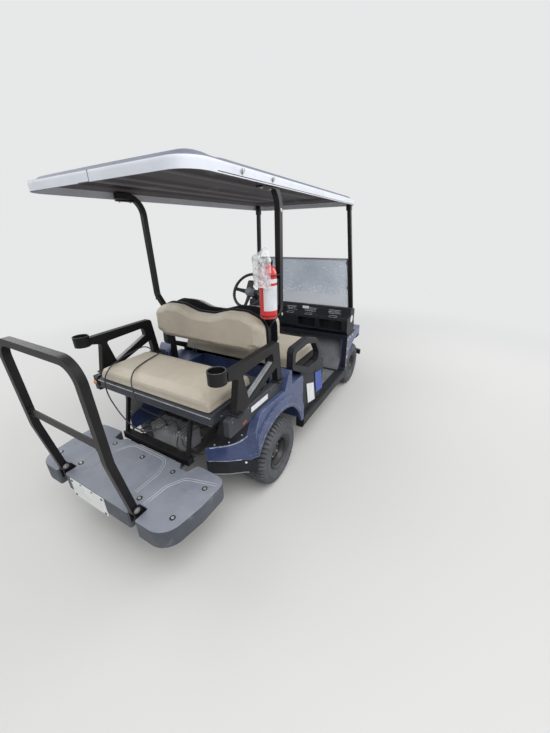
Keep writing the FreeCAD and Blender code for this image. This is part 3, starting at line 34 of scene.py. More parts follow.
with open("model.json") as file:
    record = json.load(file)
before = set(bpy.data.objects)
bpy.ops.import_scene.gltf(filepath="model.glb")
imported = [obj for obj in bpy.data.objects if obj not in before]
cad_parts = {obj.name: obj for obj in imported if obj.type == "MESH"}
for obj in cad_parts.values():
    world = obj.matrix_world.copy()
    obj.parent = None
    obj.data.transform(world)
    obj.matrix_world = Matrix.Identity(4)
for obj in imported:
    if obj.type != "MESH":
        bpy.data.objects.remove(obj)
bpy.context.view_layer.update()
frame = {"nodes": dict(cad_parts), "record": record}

REAR_AXLE_X = -576.5
CHASSIS = "chassis"
UP = Vector((0, 0, 1))
ALONG = Vector((1, 0, 0))
ACROSS = Vector((0, 1, 0))
# Left and right
SIDES = (1, -1)


def mm(x, y, z):
    return Vector(((x + REAR_AXLE_X) / 1000, y / 1000, z / 1000))


# Camera
CAMERA_PLACE = (-1426.5, -1395.0, 1597.2)
CAMERA_YAW = 30.29
CAMERA_PITCH = 24.05
CAMERA_ROLL = 1.10
CAMERA_LENS = 14.81


def new_object(name, data):
    thing = bpy.data.objects.new(name, data)
    bpy.context.scene.collection.objects.link(thing)
    return thing


def make_camera():
    data = bpy.data.cameras.new("camera")
    data.sensor_width = 36
    data.lens = CAMERA_LENS
    data.clip_start = 0.05
    camera = new_object("camera", data)
    yaw = math.radians(CAMERA_YAW)
    pitch = math.radians(CAMERA_PITCH)
    ahead = Vector((math.cos(yaw) * math.cos(pitch), math.sin(yaw) * math.cos(pitch), -math.sin(pitch)))
    right = ahead.cross(UP).normalized()
    upward = right.cross(ahead)
    turn = Matrix((right, upward, -ahead)).transposed()
    turn = turn @ Matrix.Rotation(math.radians(-CAMERA_ROLL), 3, "Z")
    camera.matrix_world = Matrix.Translation(mm(*CAMERA_PLACE)) @ turn.to_4x4()
    bpy.context.scene.camera = camera


make_camera()


# Shader node groups
class Group:
    """A shader node group under construction, with named inputs and outputs."""

    def __init__(self, name, inputs, outputs):
        self.tree = bpy.data.node_groups.new(name, "ShaderNodeTree")
        for label, kind, value in inputs:
            socket = self.tree.interface.new_socket(label, in_out="INPUT", socket_type=f"NodeSocket{kind}")
            socket.default_value = value
        for label, kind in outputs:
            self.tree.interface.new_socket(label, in_out="OUTPUT", socket_type=f"NodeSocket{kind}")
        self.start = self.tree.nodes.new("NodeGroupInput")
        self.end = self.tree.nodes.new("NodeGroupOutput")

    def node(self, kind, **settings):
        return add_node(self.tree, kind, **settings)

    def given(self, label):
        return self.start.outputs[label]

    def give(self, label, socket):
        self.tree.links.new(socket, self.end.inputs[label])


def add_node(tree, kind, inputs=None, **settings):
    """A node with its settings and its inputs, each a value or another node's socket."""
    node = tree.nodes.new(f"ShaderNode{kind}")
    for key, value in settings.items():
        setattr(node, key, value)
    for key, value in (inputs or {}).items():
        if isinstance(value, bpy.types.NodeSocket):
            tree.links.new(value, node.inputs[key])
        else:
            node.inputs[key].default_value = value
    return node


def calculate(group, operation, first, second=0.0, third=0.0, clamp=False):
    node = group.node("Math", operation=operation, use_clamp=clamp, inputs={0: first, 1: second, 2: third})
    return node.outputs[0]


def stepped(group, socket, low, high):
    node = group.node("MapRange", inputs={"Value": socket, "From Min": low, "From Max": high})
    return node.outputs["Result"]


def make_groups():
    made = {}

    group = Group("grain", [("Scale", "Float", 300.0), ("Depth", "Float", 0.0002)], [("Height", "Float")])
    place = group.node("TexCoord").outputs["Object"]
    fine = group.node("TexNoise", inputs={"Vector": place, "Scale": group.given("Scale"), "Detail": 2.0})
    coarse = calculate(group, "MULTIPLY", group.given("Scale"), 0.31)
    cells = group.node("TexVoronoi", inputs={"Vector": place, "Scale": coarse})
    total = calculate(group, "ADD", fine.outputs["Fac"], cells.outputs["Distance"])
    group.give("Height", calculate(group, "MULTIPLY", total, group.given("Depth")))
    made["grain"] = group.tree

    group = Group("mottle", [("Light", "Color", (1, 1, 1, 1)), ("Dark", "Color", (0, 0, 0, 1)),
                             ("Scale", "Float", 6.0), ("Low", "Float", 0.35), ("High", "Float", 0.7)],
                  [("Color", "Color"), ("Mask", "Float")])
    place = group.node("TexCoord").outputs["Object"]
    cloud = group.node("TexNoise", inputs={"Vector": place, "Scale": group.given("Scale"), "Detail": 6.0,
                                           "Roughness": 0.62})
    mask = stepped(group, cloud.outputs["Fac"], group.given("Low"), group.given("High"))
    mix = group.node("Mix", data_type="RGBA", inputs={"Factor": mask})
    group.tree.links.new(group.given("Dark"), mix.inputs[6])
    group.tree.links.new(group.given("Light"), mix.inputs[7])
    group.give("Color", mix.outputs[2])
    group.give("Mask", mask)
    made["mottle"] = group.tree

    group = Group("dust", [("Amount", "Float", 0.5), ("Scale", "Float", 9.0)], [("Mask", "Float")])
    normal = group.node("NewGeometry").outputs["Normal"]
    upward = stepped(group, group.node("SeparateXYZ", inputs={0: normal}).outputs["Z"], 0.1, 0.95)
    place = group.node("TexCoord").outputs["Object"]
    cloud = group.node("TexNoise", inputs={"Vector": place, "Scale": group.given("Scale"), "Detail": 8.0,
                                           "Roughness": 0.68})
    patches = stepped(group, cloud.outputs["Fac"], 0.3, 0.72)
    speck = group.node("TexNoise", inputs={"Vector": place, "Scale": 160.0, "Detail": 2.0})
    specks = stepped(group, speck.outputs["Fac"], 0.35, 0.7)
    shade = calculate(group, "MULTIPLY_ADD", specks, 0.35, 0.65)
    lying = calculate(group, "MULTIPLY_ADD", upward, 0.8, 0.2)
    mask = calculate(group, "MULTIPLY", calculate(group, "MULTIPLY", patches, shade), lying)
    group.give("Mask", calculate(group, "MULTIPLY", mask, group.given("Amount"), clamp=True))
    made["dust"] = group.tree

    group = Group("edge_wear", [("Radius", "Float", 0.003), ("Amount", "Float", 0.6)], [("Mask", "Float")])
    sharp = group.node("NewGeometry").outputs["Normal"]
    round_normal = group.node("Bevel", samples=4, inputs={"Radius": group.given("Radius")}).outputs["Normal"]
    dot = group.node("VectorMath", operation="DOT_PRODUCT", inputs={0: sharp, 1: round_normal})
    edge = stepped(group, dot.outputs["Value"], 0.985, 0.9)
    place = group.node("TexCoord").outputs["Object"]
    cloud = group.node("TexNoise", inputs={"Vector": place, "Scale": 38.0, "Detail": 4.0})
    chips = stepped(group, cloud.outputs["Fac"], 0.4, 0.62)
    group.give("Mask", calculate(group, "MULTIPLY", calculate(group, "MULTIPLY", edge, chips),
                                 group.given("Amount"), clamp=True))
    made["edge_wear"] = group.tree

    group = Group("soft_edges", [("Radius", "Float", 0.003)], [("Normal", "Vector")])
    rounded = group.node("Bevel", samples=4, inputs={"Radius": group.given("Radius")})
    group.give("Normal", rounded.outputs["Normal"])
    made["soft_edges"] = group.tree

    group = Group("scuffs", [("Amount", "Float", 0.3), ("Scale", "Float", 14.0),
                             ("Stretch", "Vector", (1, 1, 1))], [("Mask", "Float")])
    place = group.node("TexCoord").outputs["Object"]
    bent = group.node("VectorMath", operation="MULTIPLY", inputs={0: place, 1: group.given("Stretch")})
    cloud = group.node("TexNoise", inputs={"Vector": bent.outputs[0], "Scale": group.given("Scale"),
                                           "Detail": 9.0, "Roughness": 0.75, "Distortion": 0.6})
    lines = stepped(group, cloud.outputs["Fac"], 0.56, 0.7)
    group.give("Mask", calculate(group, "MULTIPLY", lines, group.given("Amount"), clamp=True))
    made["scuffs"] = group.tree
    return made


GROUPS = make_groups()


class Finish:
    """A material whose colour is laid up in steps and whose bumps are added together."""

    def __init__(self, name, roughness, metallic=0.0, specular=0.5, **constants):
        self.name = name
        self.material = bpy.data.materials.new(name)
        self.material.use_nodes = True
        self.tree = self.material.node_tree
        self.shader = self.tree.nodes["Principled BSDF"]
        self.shader.inputs["Roughness"].default_value = roughness
        self.shader.inputs["Metallic"].default_value = metallic
        self.shader.inputs["Specular IOR Level"].default_value = specular
        for key, value in constants.items():
            self.shader.inputs[key.replace("_", " ")].default_value = value
        self.colour = None
        self.rough = None
        self.base_rough = roughness
        self.heights = []
        self.edge = None

    def group(self, name, **values):
        node = self.tree.nodes.new("ShaderNodeGroup")
        node.node_tree = GROUPS[name]
        for key, value in values.items():
            node.inputs[key].default_value = value
        return node

    def mottle(self, dark, light, scale=6.0, low=0.3, high=0.7):
        node = self.group("mottle", Dark=(*dark, 1), Light=(*light, 1), Scale=scale, Low=low, High=high)
        self.colour = node.outputs["Color"]
        return self

    def over(self, mask, colour, roughness=None):
        """Lay a second colour over the first where the mask says."""
        mix = add_node(self.tree, "Mix", data_type="RGBA", inputs={"Factor": mask})
        self.tree.links.new(self.colour, mix.inputs[6])
        mix.inputs[7].default_value = (*colour, 1)
        self.colour = mix.outputs[2]
        if roughness is not None:
            mix = add_node(self.tree, "Mix", data_type="FLOAT", inputs={"Factor": mask})
            if self.rough is None:
                mix.inputs[2].default_value = self.base_rough
            else:
                self.tree.links.new(self.rough, mix.inputs[2])
            mix.inputs[3].default_value = roughness
            self.rough = mix.outputs[0]
        return self

    def facing(self, low, high, dark, light, scale=6.0):
        """Lay a mottled colour over the faces that look up, or down where the limits are negative."""
        normal = add_node(self.tree, "NewGeometry").outputs["Normal"]
        turn = add_node(self.tree, "SeparateXYZ", inputs={0: normal}).outputs["Z"]
        mask = add_node(self.tree, "MapRange", inputs={"Value": turn, "From Min": low, "From Max": high})
        node = self.group("mottle", Dark=(*dark, 1), Light=(*light, 1), Scale=scale, Low=0.3, High=0.7)
        mix = add_node(self.tree, "Mix", data_type="RGBA", inputs={"Factor": mask.outputs["Result"]})
        self.tree.links.new(self.colour, mix.inputs[6])
        self.tree.links.new(node.outputs["Color"], mix.inputs[7])
        self.colour = mix.outputs[2]
        return self

    def dust(self, amount, colour=(0.36, 0.33, 0.29), scale=9.0, roughness=0.9):
        return self.over(self.group("dust", Amount=amount, Scale=scale).outputs["Mask"], colour, roughness)

    def worn(self, amount, colour, radius=0.003, roughness=None):
        node = self.group("edge_wear", Amount=amount, Radius=radius)
        return self.over(node.outputs["Mask"], colour, roughness)

    def scuffed(self, amount, colour, scale=14.0, stretch=(1, 1, 1), roughness=None):
        node = self.group("scuffs", Amount=amount, Scale=scale, Stretch=stretch)
        return self.over(node.outputs["Mask"], colour, roughness)

    def grain(self, scale, depth):
        self.heights.append(self.group("grain", Scale=scale, Depth=depth).outputs["Height"])
        return self

    def rounded(self, radius):
        """Let sharp edges catch the light as if they were rounded."""
        self.edge = self.group("soft_edges", Radius=radius).outputs["Normal"]
        return self

    def done(self):
        self.tree.links.new(self.colour, self.shader.inputs["Base Color"])
        if self.rough is not None:
            self.tree.links.new(self.rough, self.shader.inputs["Roughness"])
        if self.heights:
            height = self.heights[0]
            for other in self.heights[1:]:
                height = add_node(self.tree, "Math", operation="ADD", inputs={0: height, 1: other}).outputs[0]
            bump = add_node(self.tree, "Bump", inputs={"Height": height, "Distance": 1.0, "Strength": 0.7})
            if self.edge is not None:
                self.tree.links.new(self.edge, bump.inputs["Normal"])
            self.tree.links.new(bump.outputs["Normal"], self.shader.inputs["Normal"])
        return self.material


def make_finishes():
    # Windshield: smoky above, paler and duller towards its foot
    pane = Finish("clear_pane", 0.22, Transmission_Weight=0.7, IOR=1.25)
    pane.mottle((0.66, 0.71, 0.78), (0.88, 0.91, 0.95), 4.0)
    pane.scuffed(0.4, (0.85, 0.87, 0.9), 30.0, (1, 1, 4), 0.6)
    place = add_node(pane.tree, "TexCoord").outputs["Object"]
    level = add_node(pane.tree, "SeparateXYZ", inputs={0: place}).outputs["Z"]
    foot = add_node(pane.tree, "MapRange", inputs={"Value": level, "From Min": 1.15, "From Max": 0.84})
    pane.over(foot.outputs["Result"], (0.97, 0.98, 1.0), 0.34).grain(60, 0.0001)

    # Roof: silver skirt, darker crown, mauve underside darkened as painted shade, its valleys darker than its
    # ribs as deeper painted shade
    roof = Finish("roof_plastic", 0.58, specular=0.35)
    roof.mottle((0.58, 0.6, 0.65), (0.7, 0.72, 0.77), 3.0)
    roof.facing(0.55, 0.8, (0.12, 0.13, 0.175), (0.17, 0.18, 0.23))
    place = add_node(roof.tree, "TexCoord").outputs["Object"]
    level = add_node(roof.tree, "SeparateXYZ", inputs={0: place}).outputs["Z"]
    # painted shade: faces that look down take a darker colour
    roof.facing(-0.35, -0.7, (0.115, 0.1, 0.112), (0.15, 0.13, 0.143), 3.0)
    normal = add_node(roof.tree, "NewGeometry").outputs["Normal"]
    turn = add_node(roof.tree, "SeparateXYZ", inputs={0: normal}).outputs["Z"]
    under = add_node(roof.tree, "MapRange", inputs={"Value": turn, "From Min": -0.35, "From Max": -0.7})
    # painted shade: the underside darker still in the valleys between its ribs, where they lie higher
    valley_shade = add_node(roof.tree, "MapRange", inputs={"Value": level, "From Min": 1.854, "From Max": 1.862})
    dark = add_node(roof.tree, "Math", operation="MULTIPLY", inputs={0: under.outputs["Result"],
                                                                     1: valley_shade.outputs["Result"]})
    roof.over(dark.outputs[0], (0.04, 0.034, 0.04))
    roof.scuffed(0.2, (0.42, 0.42, 0.44), 6.0).worn(0.3, (0.75, 0.76, 0.78), 0.004)
    roof.dust(0.15, (0.3, 0.3, 0.32)).grain(260, 0.0002)

    # Torn film: milky in some places, clear in others
    film = Finish("bag_film", 0.25, specular=0.6)
    haze = film.group("mottle", Scale=42.0, Low=0.38, High=0.62)
    milky = add_node(film.tree, "MapRange", inputs={"Value": haze.outputs["Mask"],
                                                    "To Min": 0.25, "To Max": 0.8})
    film.tree.links.new(milky.outputs["Result"], film.shader.inputs["Alpha"])
    film.mottle((0.66, 0.67, 0.69), (0.9, 0.91, 0.93), 20.0).grain(90, 0.0003)

    finishes = [
        pane,
        roof,
        film,
        Finish("navy_moulding", 0.3, specular=0.45, Coat_Weight=0.25, Coat_Roughness=0.2)
        .mottle((0.02, 0.034, 0.1), (0.05, 0.074, 0.18), 5.0)
        .scuffed(0.4, (0.15, 0.21, 0.4), 9.0, (1, 1, 3), 0.55)
        .scuffed(0.25, (0.3, 0.34, 0.46), 30.0, (1, 1, 5), 0.7)
        .worn(0.8, (0.42, 0.47, 0.58), 0.005, 0.7).dust(0.4, (0.17, 0.21, 0.34)).grain(420, 0.00006)
        .rounded(0.004),
        Finish("black_plastic", 0.48, specular=0.28)
        .mottle((0.006, 0.007, 0.0095), (0.016, 0.017, 0.022), 7.0)
        .scuffed(0.3, (0.055, 0.057, 0.066), 16.0, (1, 1, 2)).worn(0.4, (0.1, 0.103, 0.115), 0.003, 0.7)
        .dust(0.18, (0.09, 0.092, 0.1)).grain(520, 0.00012).rounded(0.005),
        Finish("grey_plastic", 0.5, specular=0.35)
        .mottle((0.024, 0.027, 0.034), (0.042, 0.047, 0.058), 6.0)
        .scuffed(0.4, (0.09, 0.095, 0.11), 18.0, (1, 1, 2)).worn(0.6, (0.2, 0.205, 0.22), 0.003, 0.7)
        .dust(0.25, (0.13, 0.132, 0.14)).grain(480, 0.00014).rounded(0.004),
        # painted shade: the skirt and other side faces keep a darker colour, and faces that look up take the
        # lighter top colour
        Finish("deck_plastic", 0.55, specular=0.4)
        .mottle((0.045, 0.052, 0.066), (0.08, 0.089, 0.108), 5.0)
        .facing(0.5, 0.85, (0.165, 0.18, 0.222), (0.225, 0.242, 0.29), 7.0)
        .scuffed(0.35, (0.3, 0.31, 0.33), 12.0, (1, 1.6, 1)).scuffed(0.3, (0.07, 0.077, 0.095), 5.0)
        .worn(0.4, (0.34, 0.35, 0.37), 0.004, 0.8).dust(0.3, (0.29, 0.28, 0.27), 6.0)
        .grain(380, 0.00022),
        # the brownish tone on faces that look up is partly dust, partly a painted sheen on the tops
        Finish("black_steel", 0.42, specular=0.26)
        .mottle((0.0045, 0.0045, 0.0055), (0.011, 0.0105, 0.0115), 9.0)
        .scuffed(0.22, (0.036, 0.033, 0.031), 20.0, (1, 1, 2), 0.6)
        .worn(0.35, (0.1, 0.092, 0.085), 0.002, 0.6)
        .dust(0.1, (0.07, 0.065, 0.06), 12.0).grain(600, 0.00004).rounded(0.004),
        Finish("frame_steel", 0.5).mottle((0.02, 0.019, 0.02), (0.045, 0.042, 0.042), 8.0)
        .dust(0.5, (0.13, 0.115, 0.1)).grain(300, 0.0002),
        Finish("spring_steel", 0.6, 0.4).mottle((0.06, 0.05, 0.045), (0.12, 0.1, 0.085), 20.0)
        .dust(0.5).grain(240, 0.0002),
        Finish("cast_metal", 0.6, 0.4).mottle((0.04, 0.038, 0.036), (0.09, 0.085, 0.08), 16.0)
        .dust(0.4, (0.16, 0.14, 0.12)).grain(200, 0.0004),
        Finish("motor_case", 0.45, 0.2).mottle((0.03, 0.03, 0.032), (0.06, 0.06, 0.062), 10.0)
        .dust(0.5, (0.2, 0.18, 0.16)).grain(300, 0.0002),
        Finish("zinc_steel", 0.35, 0.9).mottle((0.36, 0.35, 0.33), (0.55, 0.54, 0.52), 30.0)
        .dust(0.35).grain(700, 0.00005),
        Finish("wheel_paint", 0.38).mottle((0.012, 0.012, 0.014), (0.028, 0.028, 0.031), 12.0)
        .worn(0.4, (0.11, 0.11, 0.115), 0.002).dust(0.35, (0.14, 0.13, 0.12)).grain(400, 0.00012),
        Finish("tyre_rubber", 0.82, specular=0.3).mottle((0.05, 0.054, 0.062), (0.1, 0.106, 0.12), 9.0)
        .scuffed(0.5, (0.17, 0.175, 0.185), 12.0).worn(0.5, (0.2, 0.2, 0.205), 0.002)
        .dust(0.4, (0.24, 0.23, 0.21)).grain(350, 0.0003),
        Finish("tan_vinyl", 0.48, specular=0.42)
        .mottle((0.41, 0.365, 0.29), (0.52, 0.47, 0.38), 3.5)
        .scuffed(0.3, (0.27, 0.24, 0.19), 7.0).scuffed(0.22, (0.3, 0.275, 0.23), 26.0, (1, 1, 2))
        .grain(900, 0.00012).grain(230, 0.00016),
        Finish("mat_rubber", 0.8).mottle((0.06, 0.063, 0.07), (0.115, 0.12, 0.13), 8.0)
        .dust(0.8, (0.3, 0.3, 0.3), 6.0).grain(260, 0.0003),
        Finish("lamp_lens", 0.08, Transmission_Weight=0.6, IOR=1.49)
        .mottle((0.75, 0.77, 0.8), (0.9, 0.92, 0.94), 6.0).grain(80, 0.0002),
        Finish("red_paint", 0.22, Coat_Weight=0.5, Coat_Roughness=0.12)
        .mottle((0.52, 0.012, 0.014), (0.68, 0.022, 0.02), 6.0).worn(0.3, (0.3, 0.02, 0.02))
        .dust(0.15, (0.5, 0.3, 0.27)).grain(500, 0.00004),
        Finish("cord_jacket", 0.5).mottle((0.016, 0.016, 0.018), (0.04, 0.038, 0.036), 30.0)
        .dust(0.35, (0.2, 0.18, 0.15)).grain(700, 0.00008),
        Finish("charger_case", 0.45, 0.5).mottle((0.3, 0.305, 0.32), (0.48, 0.485, 0.5), 14.0)
        .worn(0.6, (0.7, 0.7, 0.71), 0.002).dust(0.25, (0.2, 0.19, 0.17)).grain(400, 0.0001),
        Finish("battery_case", 0.5).mottle((0.02, 0.02, 0.022), (0.05, 0.05, 0.052), 8.0)
        .dust(0.5).grain(300, 0.0001),
        # these are only on the pieces that dress the part
        Finish("amber_lens", 0.2, Coat_Weight=0.4, Transmission_Weight=0.3)
        .mottle((0.7, 0.2, 0.02), (0.9, 0.33, 0.05), 30.0).grain(300, 0.0002),
        Finish("red_lens", 0.3, Coat_Weight=0.2).mottle((0.17, 0.018, 0.012), (0.28, 0.04, 0.02), 40.0)
        .dust(0.3).grain(500, 0.0002),
        Finish("blank_label", 0.45).mottle((0.62, 0.63, 0.64), (0.78, 0.79, 0.8), 12.0)
        .scuffed(0.5, (0.3, 0.31, 0.33), 22.0).worn(0.3, (0.3, 0.3, 0.3), 0.002).grain(400, 0.00008),
        Finish("blue_label", 0.4).mottle((0.02, 0.06, 0.32), (0.03, 0.09, 0.42), 10.0)
        .scuffed(0.35, (0.4, 0.45, 0.6), 24.0).grain(400, 0.00008),
        Finish("dark_metal", 0.35, 0.8).mottle((0.1, 0.1, 0.105), (0.2, 0.2, 0.2), 30.0)
        .dust(0.3).grain(500, 0.00006),
        Finish("worn_strip", 0.4, 0.3).mottle((0.3, 0.31, 0.33), (0.62, 0.63, 0.65), 18.0)
        .scuffed(0.7, (0.09, 0.09, 0.1), 30.0, (1, 0.3, 2)).grain(300, 0.0001),
        Finish("worn_paint", 0.6).mottle((0.16, 0.2, 0.32), (0.55, 0.58, 0.66), 26.0, 0.4, 0.6)
        .scuffed(0.5, (0.05, 0.07, 0.16), 40.0).grain(300, 0.0001),
        # painted highlight along the deck's pressed lines
        Finish("pressed_line_highlight", 0.5, specular=0.4).mottle((0.3, 0.32, 0.36), (0.46, 0.48, 0.52), 9.0)
        .scuffed(0.4, (0.16, 0.175, 0.21), 20.0).grain(380, 0.0001),
        Finish("dark_joint", 0.6)
        .mottle((0.008, 0.008, 0.01), (0.02, 0.02, 0.024), 12.0).grain(300, 0.0001),
        Finish("hook_plastic", 0.3, Transmission_Weight=0.3, IOR=1.45)
        .mottle((0.3, 0.3, 0.32), (0.5, 0.51, 0.53), 20.0).grain(300, 0.0001),
        Finish("plate_paint", 0.4).mottle((0.7, 0.71, 0.7), (0.82, 0.83, 0.82), 14.0)
        .scuffed(0.45, (0.4, 0.4, 0.38), 22.0, (1, 1, 2)).worn(0.5, (0.25, 0.25, 0.24), 0.003)
        .grain(300, 0.0001),
        Finish("pale_strip", 0.45).mottle((0.17, 0.18, 0.19), (0.3, 0.31, 0.32), 12.0)
        .scuffed(0.4, (0.08, 0.085, 0.09), 20.0).grain(400, 0.0001),
        Finish("paper_label", 0.5).mottle((0.5, 0.52, 0.54), (0.72, 0.73, 0.75), 9.0)
        .scuffed(0.35, (0.35, 0.37, 0.4), 40.0, (1, 1, 6)).grain(400, 0.0001),
        Finish("grip_rubber", 0.6).mottle((0.012, 0.012, 0.013), (0.026, 0.026, 0.028), 16.0)
        .dust(0.2, (0.12, 0.115, 0.11)).grain(500, 0.0003),
        Finish("hub_grey", 0.5).mottle((0.1, 0.12, 0.14), (0.16, 0.18, 0.2), 12.0)
        .worn(0.4, (0.3, 0.32, 0.34), 0.003).dust(0.3, (0.25, 0.25, 0.25)).grain(500, 0.0002),
        Finish("dot_silver", 0.25, 0.85).mottle((0.55, 0.56, 0.58), (0.75, 0.76, 0.78), 40.0)
        .grain(700, 0.00004),
        Finish("hinge_rubber", 0.65).mottle((0.02, 0.02, 0.022), (0.045, 0.045, 0.048), 14.0)
        .dust(0.25, (0.15, 0.15, 0.15)).grain(400, 0.0001),
    ]
    return {finish.name: finish.done() for finish in finishes}


FINISHES = make_finishes()


# Shapes
def circle(place, radius, steps, first=ALONG, second=ACROSS):
    """Places round a circle, whose radius is in metres."""
    ring = []
    for step in range(steps):
        angle = 2 * math.pi * step / steps
        ring.append(place + (first * math.cos(angle) + second * math.sin(angle)) * radius)
    return ring


class Shape:
    """A mesh put together from simple closed forms, in the row's frame."""

    def __init__(self):
        self.mesh = bmesh.new()

    def loops(self, rings, closed_ends=True, closed_run=False):
        """Skin a run of vertex rings; each ring is a list of places."""
        made = [[self.mesh.verts.new(place) for place in ring] for ring in rings]
        self.skin(made + made[:1] if closed_run else made)
        if closed_ends and not closed_run:
            self.mesh.faces.new(list(reversed(made[0])))
            self.mesh.faces.new(made[-1])
        return self

    def skin(self, rows, closed=True):
        """Faces between rows of vertices, each row a ring or, if not closed, a strip."""
        for one, two in zip(rows, rows[1:]):
            count = len(one)
            for index in range(count if closed else count - 1):
                after = (index + 1) % count
                self.mesh.faces.new((one[index], one[after], two[after], two[index]))

    def box(self, low, high):
        corners = [Vector((low.x, low.y, 0)), Vector((high.x, low.y, 0)), Vector((high.x, high.y, 0)),
                   Vector((low.x, high.y, 0))]
        return self.loops([[corner + UP * z for corner in corners] for z in (low.z, high.z)])

    def slab(self, corners, thickness):
        """A flat plate: its outline's places in order, thickened along its own normal by a vector."""
        return self.loops([corners, [corner + thickness for corner in corners]])

    def bar(self, start, end, width, height, side=ACROSS):
        ahead = (end - start).normalized()
        wide = (side - ahead * side.dot(ahead)).normalized() * (width / 2)
        tall = ahead.cross(wide).normalized() * (height / 2)
        rings = []
        for middle in (start, end):
            rings.append([middle - wide - tall, middle + wide - tall,
                          middle + wide + tall, middle - wide + tall])
        return self.loops(rings)

    def turned(self, profile, place, axis, steps=32, closed_ends=True):
        """Turn a profile of (distance along axis, radius) about an axis through place."""
        axis = axis.normalized()
        side = axis.orthogonal().normalized()
        other = axis.cross(side)
        rings = [circle(place + axis * along, max(radius, 0.0001), steps, side, other)
                 for along, radius in profile]
        return self.loops(rings, closed_ends)

    def run(self, path, radius, steps=10, closed=False, squash=1.0):
        """A round tube along a path of places."""
        rings = []
        count = len(path)
        side = None
        for index, place in enumerate(path):
            before = path[index - 1] if index or closed else place
            after = path[(index + 1) % count] if index < count - 1 or closed else place
            ahead = (after - before).normalized()
            if side is None:
                side = ahead.orthogonal().normalized()
            side = (side - ahead * side.dot(ahead)).normalized()
            other = ahead.cross(side)
            ring = []
            for step in range(steps):
                angle = 2 * math.pi * step / steps
                ring.append(place + side * (math.cos(angle) * radius)
                            + other * (math.sin(angle) * radius * squash))
            rings.append(ring)
        return self.loops(rings, closed_run=closed)

    def bolt(self, place, axis, radius, height=None, washer=True):
        """A six-sided head on a washer."""
        tall = height or radius * 0.8
        if washer:
            wide = radius * 1.6
            self.turned([(0, wide), (tall * 0.25, wide), (tall * 0.3, radius * 1.45)], place, axis, 20)
        self.turned([(0, radius), (tall * 0.85, radius), (tall, radius * 0.82)], place, axis, 6)
        return self

    def rivet(self, place, axis, radius):
        dome = [(radius * 0.5 * math.sin(turn), radius * math.cos(turn)) for turn in (0, 0.4, 0.8, 1.2, 1.5)]
        return self.turned(dome, place, axis, 14)

    def done(self, name, finish, body=CHASSIS, slot=None, replaces=(), bevel=0.0, levels=2, angle=35):
        mesh = bpy.data.meshes.new(name)
        bmesh.ops.recalc_face_normals(self.mesh, faces=self.mesh.faces)
        self.mesh.to_mesh(mesh)
        self.mesh.free()
        piece = new_object(name, mesh)
        mesh.materials.append(FINISHES[finish])
        mesh.shade_smooth()
        mesh.set_sharp_from_angle(angle=math.radians(angle))
        if bevel:
            rounding = piece.modifiers.new("rounding", "BEVEL")
            rounding.width = bevel
            rounding.segments = levels
            rounding.limit_method = "ANGLE"
            rounding.angle_limit = math.radians(40)
        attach(piece, body)
        if replaces:
            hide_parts(*replaces)
        return piece


def outlined(corners, steps=6):
    """Places around an outline of (a, b) or (a, b, corner radius), in millimetres."""
    places = []
    count = len(corners)
    for index, corner in enumerate(corners):
        here = Vector(corner[:2])
        radius = corner[2] if len(corner) > 2 else 0
        back = Vector(corners[index - 1][:2]) - here
        ahead = Vector(corners[(index + 1) % count][:2]) - here
        if not radius or abs(back.angle(ahead) - math.pi) < 0.01:
            places.append(here)
            continue
        back.normalize()
        ahead.normalize()
        half_turn = back.angle(ahead) / 2
        reach = radius / math.tan(half_turn)
        centre = here + (back + ahead).normalized() * math.hypot(radius, reach)
        first = here + back * reach - centre
        last = here + ahead * reach - centre
        for step in range(steps + 1):
            share = step / steps
            places.append(centre + (first * (1 - share) + last * share).normalized() * radius)
    return places


def side_plate(shape, corners, y_near, y_far):
    """A plate with its outline in x and z."""
    places = outlined(corners)
    return shape.loops([[mm(place.x, y, place.y) for place in places] for y in (y_near, y_far)])


def cross_plate(shape, corners, x_near, x_far):
    places = outlined(corners)
    return shape.loops([[mm(x, place.x, place.y) for place in places] for x in (x_near, x_far)])


def turned_over(corners):
    """Half an outline on the left and its mirror on the right."""
    return corners + [(x, -y, *rest) for x, y, *rest in reversed(corners)]


def open_line(corners, steps=8):
    """Like outlined, for a line with two ends."""
    return outlined([corners[0][:2]] + corners[1:-1] + [corners[-1][:2]], steps)


def along_line(line, first):
    """Second value of a line of places where its first value is given."""
    for one, two in zip(line, line[1:]):
        if one.x <= first <= two.x:
            return one.y + (two.y - one.y) * (first - one.x) / max(two.x - one.x, 1e-6)
    return line[-1].y


def smooth_line(points, steps=6):
    """A smooth line through the given points."""
    places = []
    count = len(points)
    for index in range(count - 1):
        before = points[max(index - 1, 0)]
        first = points[index]
        second = points[index + 1]
        after = points[min(index + 2, count - 1)]
        for step in range(steps):
            share = step / steps
            places.append(0.5 * (2 * first + (second - before) * share
                                 + (2 * before - 5 * first + 4 * second - after) * share ** 2
                                 + (3 * first - before - 3 * second + after) * share ** 3))
    places.append(points[-1])
    return places


# Charging cord: places along its route, x, y, z
CORD_ROUTE = [
    (-405, 0, 500), (-405, 0, 552), (-462, 66, 606), (-506, 88, 670), (-510, 92, 746), (-505, 108, 826),
    (-442, 158, 856), (-342, 220, 849), (-232, 252, 848), (-132, 268, 853), (-70, 284, 828), (-56, 308, 780),
    (-50, 352, 763), (-54, 410, 764), (-62, 452, 788), (-74, 470, 832), (-132, 472, 857), (-218, 460, 848),
    (-312, 438, 849), (-402, 388, 849), (-468, 340, 857), (-509, 352, 806), (-512, 374, 734),
    (-512, 362, 662), (-510, 322, 594), (-508, 266, 530), (-496, 204, 474), (-482, 130, 456),
    (-466, 54, 478), (-446, -20, 516), (-424, -64, 572), (-405, -110, 562), (-405, -110, 500),
]
CORD_DIAMETER = 0.008


